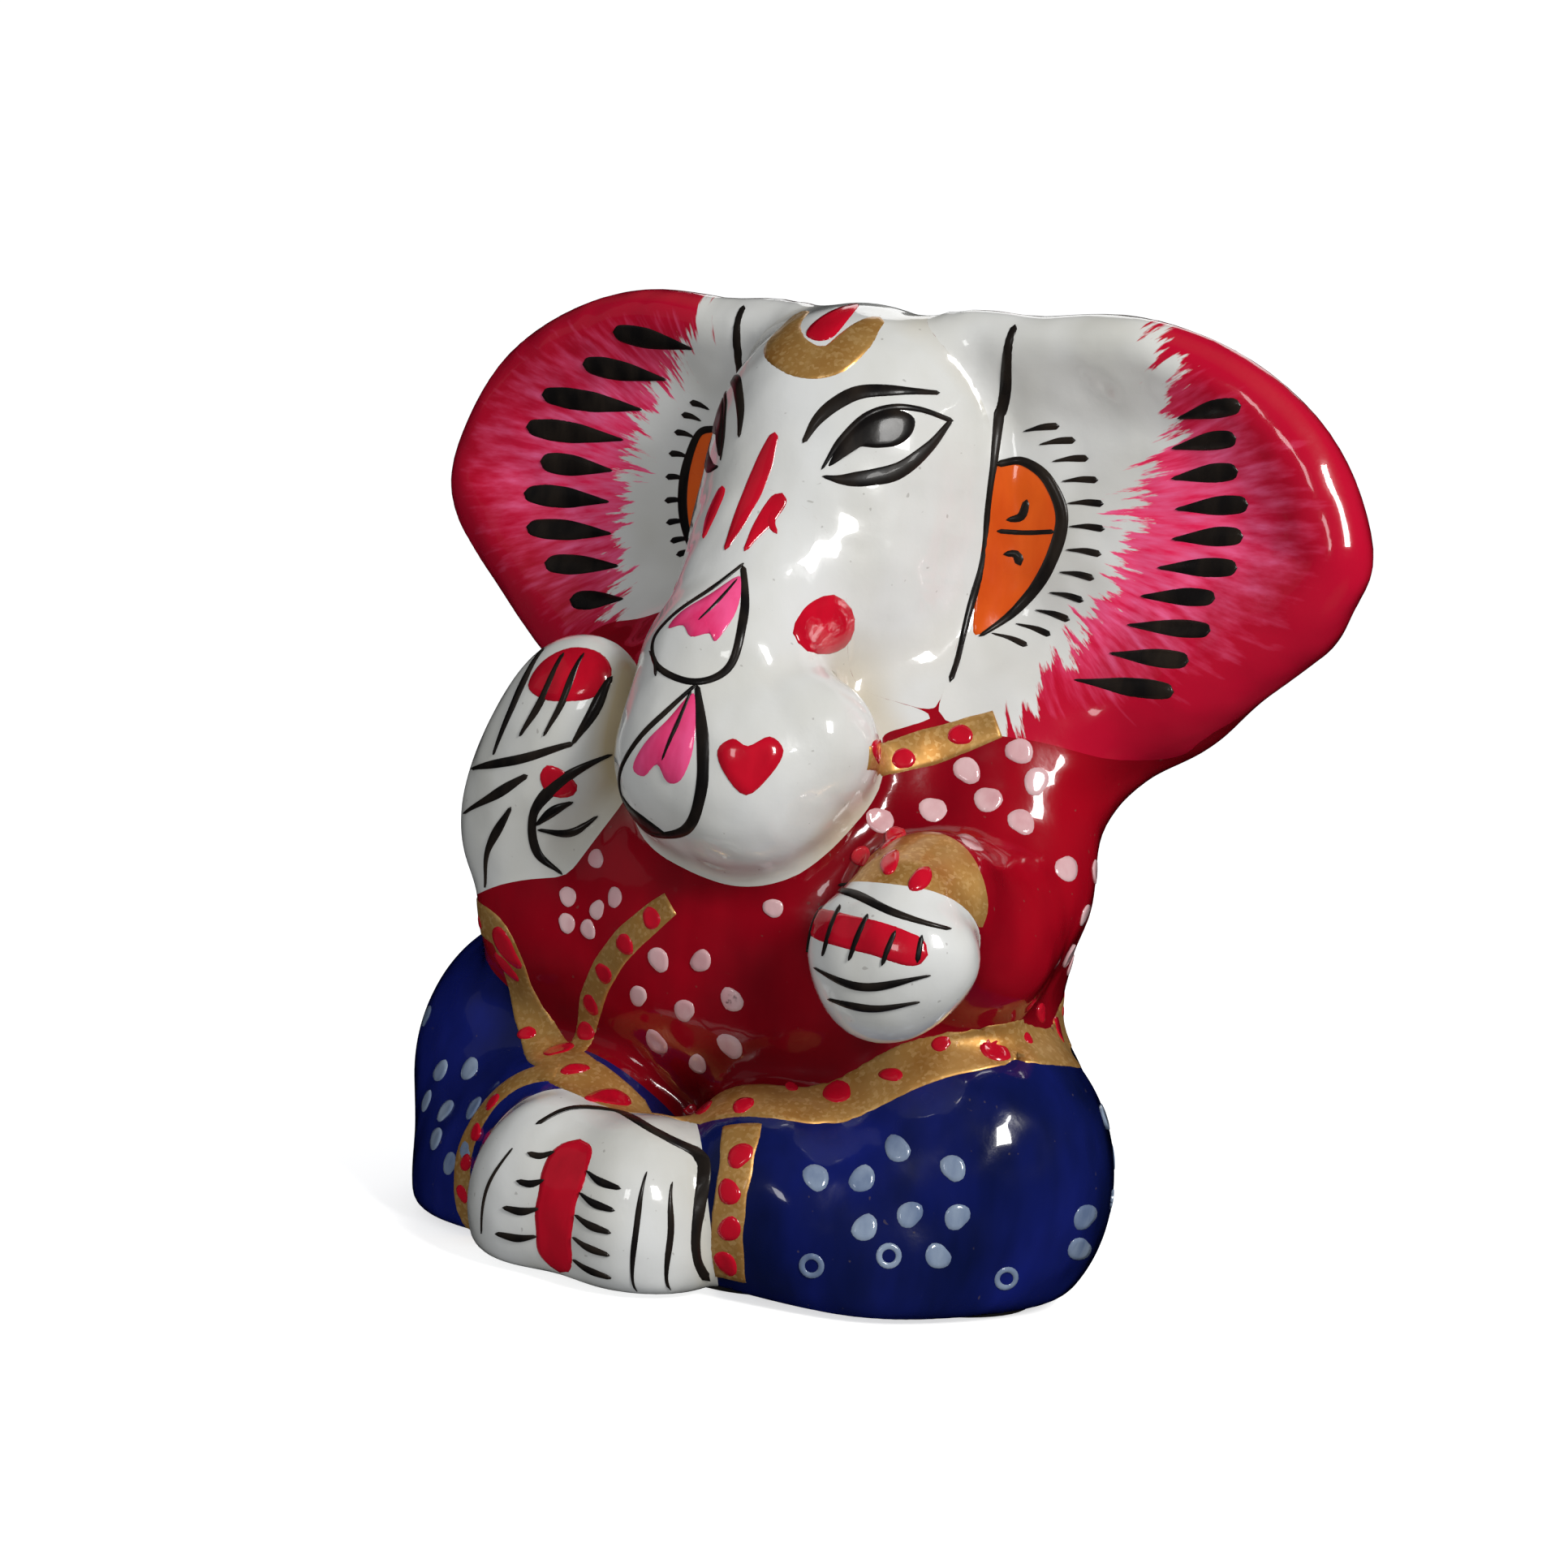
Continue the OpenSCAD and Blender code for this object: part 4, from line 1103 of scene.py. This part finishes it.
def start_material(name, rough, coat, metal=0.0):
    """A lacquered surface: fine pits in the paint under a coat that lies in slow waves."""
    material = bpy.data.materials.new(name)
    material.use_nodes = True
    tree = material.node_tree
    tree.nodes.clear()
    out = tree.nodes.new("ShaderNodeOutputMaterial")
    place = node(tree, "TexCoord").outputs["Object"]
    shader = node(tree, "BsdfPrincipled", {"Metallic": metal, "Coat Weight": coat, "Coat Roughness": 0.035,
                                           "Coat IOR": 1.45, "Specular IOR Level": 0.2})
    tree.links.new(shader.outputs[0], out.inputs[0])
    waves = noise(tree, place, 190.0, 1.2)
    grain = noise(tree, place, 1500.0, 2.0)
    slow = node(tree, "Bump", {"Height": waves, "Distance": 0.0012, "Strength": 0.55})
    fine = node(tree, "Bump", {"Height": grain, "Distance": 0.00003, "Strength": 0.5,
                               "Normal": slow.outputs[0]})
    tree.links.new(fine.outputs[0], shader.inputs["Normal"])
    tree.links.new(slow.outputs[0], shader.inputs["Coat Normal"])
    patchy = noise(tree, place, 160.0, 3.0)
    tree.links.new(remap(tree, patchy, 0.3, 0.7, rough * 0.7, rough * 1.4), shader.inputs["Roughness"])
    return material, tree, place, shader


def enamel(name, colour, shade, rough=0.2, crease_shade=None, coat=1.0, grain=110.0):
    """Brushed enamel: the colour drifts towards the shade in strokes, and in creases it turns towards a
    darker colour as painted shade.
    """
    material, tree, place, shader = start_material(name, rough, coat)
    brushed = node(tree, "Mapping", {"Vector": place, "Scale": (1.0, 1.0, 0.35)}).outputs[0]
    streaks = noise(tree, brushed, grain, 4.0)
    tone = mixed(tree, remap(tree, streaks, 0.38, 0.68), rgba(colour), rgba(shade))
    # Painted shade: the further a point lies into creases, the more its colour turns to the darker colour
    # given for creases.
    if crease_shade:
        crease_shade_amount = stored(tree, "crease_shade")
        tone = mixed(tree, remap(tree, crease_shade_amount, 0.12, 0.75, 0.0, 0.85), tone, rgba(crease_shade))
        specks = noise(tree, place, 2200.0, 0.0)
        tone = mixed(tree, remap(tree, specks, 0.83, 0.87, 0.0, 0.35), tone, (0.12, 0.09, 0.07, 1))
    tree.links.new(tone, shader.inputs["Base Color"])
    return material


def gold(name):
    material, tree, place, shader = start_material(name, 0.38, 0.35, metal=0.55)
    flakes = node(tree, "TexVoronoi", {"Vector": place, "Scale": 3800.0}).outputs["Color"]
    level = node(tree, "SeparateColor", {0: flakes}).outputs[0]
    thin = noise(tree, place, 260.0, 3.0)
    tone = mixed(tree, remap(tree, thin, 0.35, 0.7), (0.62, 0.345, 0.105, 1), (0.47, 0.215, 0.048, 1))
    tone = mixed(tree, remap(tree, level, 0.6, 1.0, 0.0, 0.5), tone, (0.85, 0.56, 0.24, 1))
    tree.links.new(tone, shader.inputs["Base Color"])
    return material


def ear_enamel(name):
    """White in the middle, then pink brushed out in broken strokes to a crimson rim and a red back, with
    painted shade in creases.
    """
    material, tree, place, shader = start_material(name, 0.2, 1.0)
    zone = stored(tree, "brush")
    rim = stored(tree, "rim")
    spoke = stored(tree, "spoke")
    behind = stored(tree, "behind")
    outwards = maths(tree, "MULTIPLY", zone, 0.010)
    polar = node(tree, "CombineXYZ", {0: spoke, 1: outwards}).outputs[0]
    bristle = noise(tree, polar, 16.0, 5.0, 0.65)
    feather = remap(tree, bristle, 0.25, 0.75, -3.6, 3.6)
    reached = maths(tree, "ADD", zone, feather)
    cloudy = noise(tree, place, 120.0)
    white = mixed(tree, remap(tree, cloudy, 0.4, 0.7), (0.68, 0.68, 0.66, 1), (0.60, 0.595, 0.555, 1))
    strokes = noise(tree, polar, 30.0, 4.0)
    pink = mixed(tree, remap(tree, strokes, 0.35, 0.7), (0.86, 0.022, 0.105, 1), (0.88, 0.135, 0.31, 1))
    ragged = remap(tree, strokes, 0.3, 0.7, -2.0, 2.0)
    edge = maths(tree, "ADD", rim, ragged)
    pink = mixed(tree, remap(tree, edge, 3.0, 10.5, 1.0, 0.0), pink, (0.47, 0.004, 0.026, 1))
    tone = mixed(tree, remap(tree, reached, 0.2, 0.9), white, pink)
    # Painted shade: creases turn towards a dark ochre.
    crease_shade_amount = stored(tree, "crease_shade")
    shaded = mixed(tree, 0.55, tone, (0.45, 0.36, 0.22, 1))
    tone = mixed(tree, remap(tree, crease_shade_amount, 0.25, 0.9, 0.0, 0.9), tone, shaded)
    tone = mixed(tree, behind, tone, (0.38, 0.003, 0.016, 1))
    tree.links.new(tone, shader.inputs["Base Color"])
    return material


# The last colour given to white, red and blue enamel is painted shade for their creases.
WHITE = enamel("white_enamel", (0.68, 0.685, 0.675), (0.60, 0.595, 0.555), crease_shade=(0.50, 0.40, 0.23))
RED = enamel("red_enamel", (0.34, 0.0015, 0.010), (0.20, 0.001, 0.007), crease_shade=(0.08, 0.001, 0.003))
BRIGHT = enamel("bright_red_enamel", (0.54, 0.004, 0.020), (0.40, 0.003, 0.015), grain=420.0)
BLUE = enamel("blue_enamel", (0.007, 0.013, 0.150), (0.003, 0.006, 0.040), crease_shade=(0.004, 0.004, 0.014))
BLACK = enamel("black_enamel", (0.007, 0.006, 0.006), (0.022, 0.016, 0.012), rough=0.3, coat=0.12,
               grain=500.0)
ORANGE = enamel("orange_enamel", (0.72, 0.105, 0.010), (0.60, 0.066, 0.006), grain=300.0)
PINK = enamel("pink_enamel", (0.84, 0.09, 0.26), (0.72, 0.025, 0.13), grain=420.0)
TUNIC_DOT = enamel("tunic_dot_enamel", (0.68, 0.45, 0.46), (0.58, 0.30, 0.32), grain=500.0)
LEG_DOT = enamel("leg_dot_enamel", (0.24, 0.30, 0.40), (0.11, 0.155, 0.26), grain=500.0)
GOLD = gold("gold_paint")
EAR = ear_enamel("ear_enamel")
BASE = enamel("base_paint", (0.012, 0.011, 0.011), (0.03, 0.026, 0.022), rough=0.4, coat=0.3)

PIECE_PAINT = {"feet": WHITE, "left_hand": WHITE, "right_hand": WHITE, "head": WHITE, "trunk": WHITE,
               "left_cuff": GOLD, "left_ear": EAR, "right_ear": EAR, "left_leg": BLUE, "right_leg": BLUE,
               "left_sleeve": RED, "right_sleeve": RED, "torso": RED}
MARK_PAINT = {"gold_paint": GOLD, "black_enamel": BLACK, "orange_enamel": ORANGE, "pink_enamel": PINK,
              "red_enamel": BRIGHT}


def make_plate():
    """The thin dark base that the casting is glued to: the hull of six round corners."""
    shell = bmesh.new()
    for x, y, radius in ((10, 4.5, 7.5), (17.5, -6.5, 8), (7, -15, 5)):
        for side in (-1, 1):
            for i in range(48):
                angle = 2 * math.pi * i / 48
                for z, inset in ((0, 0.12), (0.1, 0), (UNDERSIDE + 0.02, 0)):
                    across = side * x + (radius - inset) * math.cos(angle)
                    back = y + (radius - inset) * math.sin(angle)
                    shell.verts.new((across * MM, back * MM, z * MM))
    hull = bmesh.ops.convex_hull(shell, input=shell.verts)
    bmesh.ops.delete(shell, geom=list(set(hull["geom_interior"] + hull["geom_unused"])), context="VERTS")
    bmesh.ops.recalc_face_normals(shell, faces=shell.faces)
    mesh = bpy.data.meshes.new("thin_base")
    shell.to_mesh(mesh)
    shell.free()
    plate = bpy.data.objects.new("thin_base", mesh)
    bpy.context.collection.objects.link(plate)
    mesh.materials.append(BASE)
    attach(plate, BODY)
    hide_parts("base_plate")


for name, thing in pieces.items():
    thing.data.materials.clear()
    thing.data.materials.append(PIECE_PAINT[name])
for name, marks in MARKS.items():
    paint = {"tunic_dots": TUNIC_DOT, "leg_dots": LEG_DOT}.get(name) or MARK_PAINT[SLOTS[name]]
    marks.finish(name, paint)
make_plate()


# ---------- floor and light ----------


def make_floor():
    """A pale floor that sweeps up into a low wall all round."""
    profile = [(0, 0), (0.35, 0), (0.62, 0), (0.74, 0.02), (0.82, 0.08), (0.86, 0.18), (0.87, 0.5)]
    count = 64
    angles = [2 * math.pi * i / count for i in range(count)]
    verts = [(0, 0, 0)]
    for r, z in profile[1:]:
        verts += [(r * math.cos(angle), r * math.sin(angle), z) for angle in angles]
    faces = [(0, 1 + i, 1 + (i + 1) % count) for i in range(count)]
    for ring in range(len(profile) - 2):
        a = 1 + ring * count
        b = a + count
        faces += [(a + i, b + i, b + (i + 1) % count, a + (i + 1) % count) for i in range(count)]
    floor = new_object("floor", verts, faces)
    material = bpy.data.materials.new("pale_floor")
    material.use_nodes = True
    shader = material.node_tree.nodes["Principled BSDF"]
    shader.inputs["Base Color"].default_value = (0.88, 0.88, 0.88, 1)
    shader.inputs["Roughness"].default_value = 0.7
    shader.inputs["Emission Color"].default_value = (1, 1, 1, 1)
    shader.inputs["Emission Strength"].default_value = 0.66
    floor.data.materials.append(material)
    floor.location = (0, 0, cad_box[0][2])
    floor.visible_glossy = False
    floor.visible_diffuse = False


def make_light():
    world = bpy.data.worlds.new("studio")
    world.use_nodes = True
    world.node_tree.nodes["Background"].inputs[0].default_value = (0.96, 0.98, 1.0, 1)
    world.node_tree.nodes["Background"].inputs[1].default_value = 0.42
    world.cycles_visibility.glossy = False
    bpy.context.scene.world = world
    target = (0, 0, 0.04)
    area_light("window", (0.34, -0.16, 0.26), target, (0.09, 0.14), 1.35, (1.0, 0.99, 0.97))
    area_light("front_panel", (0.10, -0.42, 0.20), target, (0.06, 0.10), 0.13)
    area_light("fill", (-0.35, -0.30, 0.30), target, (0.35, 0.35), 0.03, (0.97, 0.98, 1.0))
    area_light("rear", (-0.15, 0.42, 0.35), target, (0.30, 0.20), 0.25)


make_floor()
make_light()
bpy.context.scene.view_settings.view_transform = "Standard"
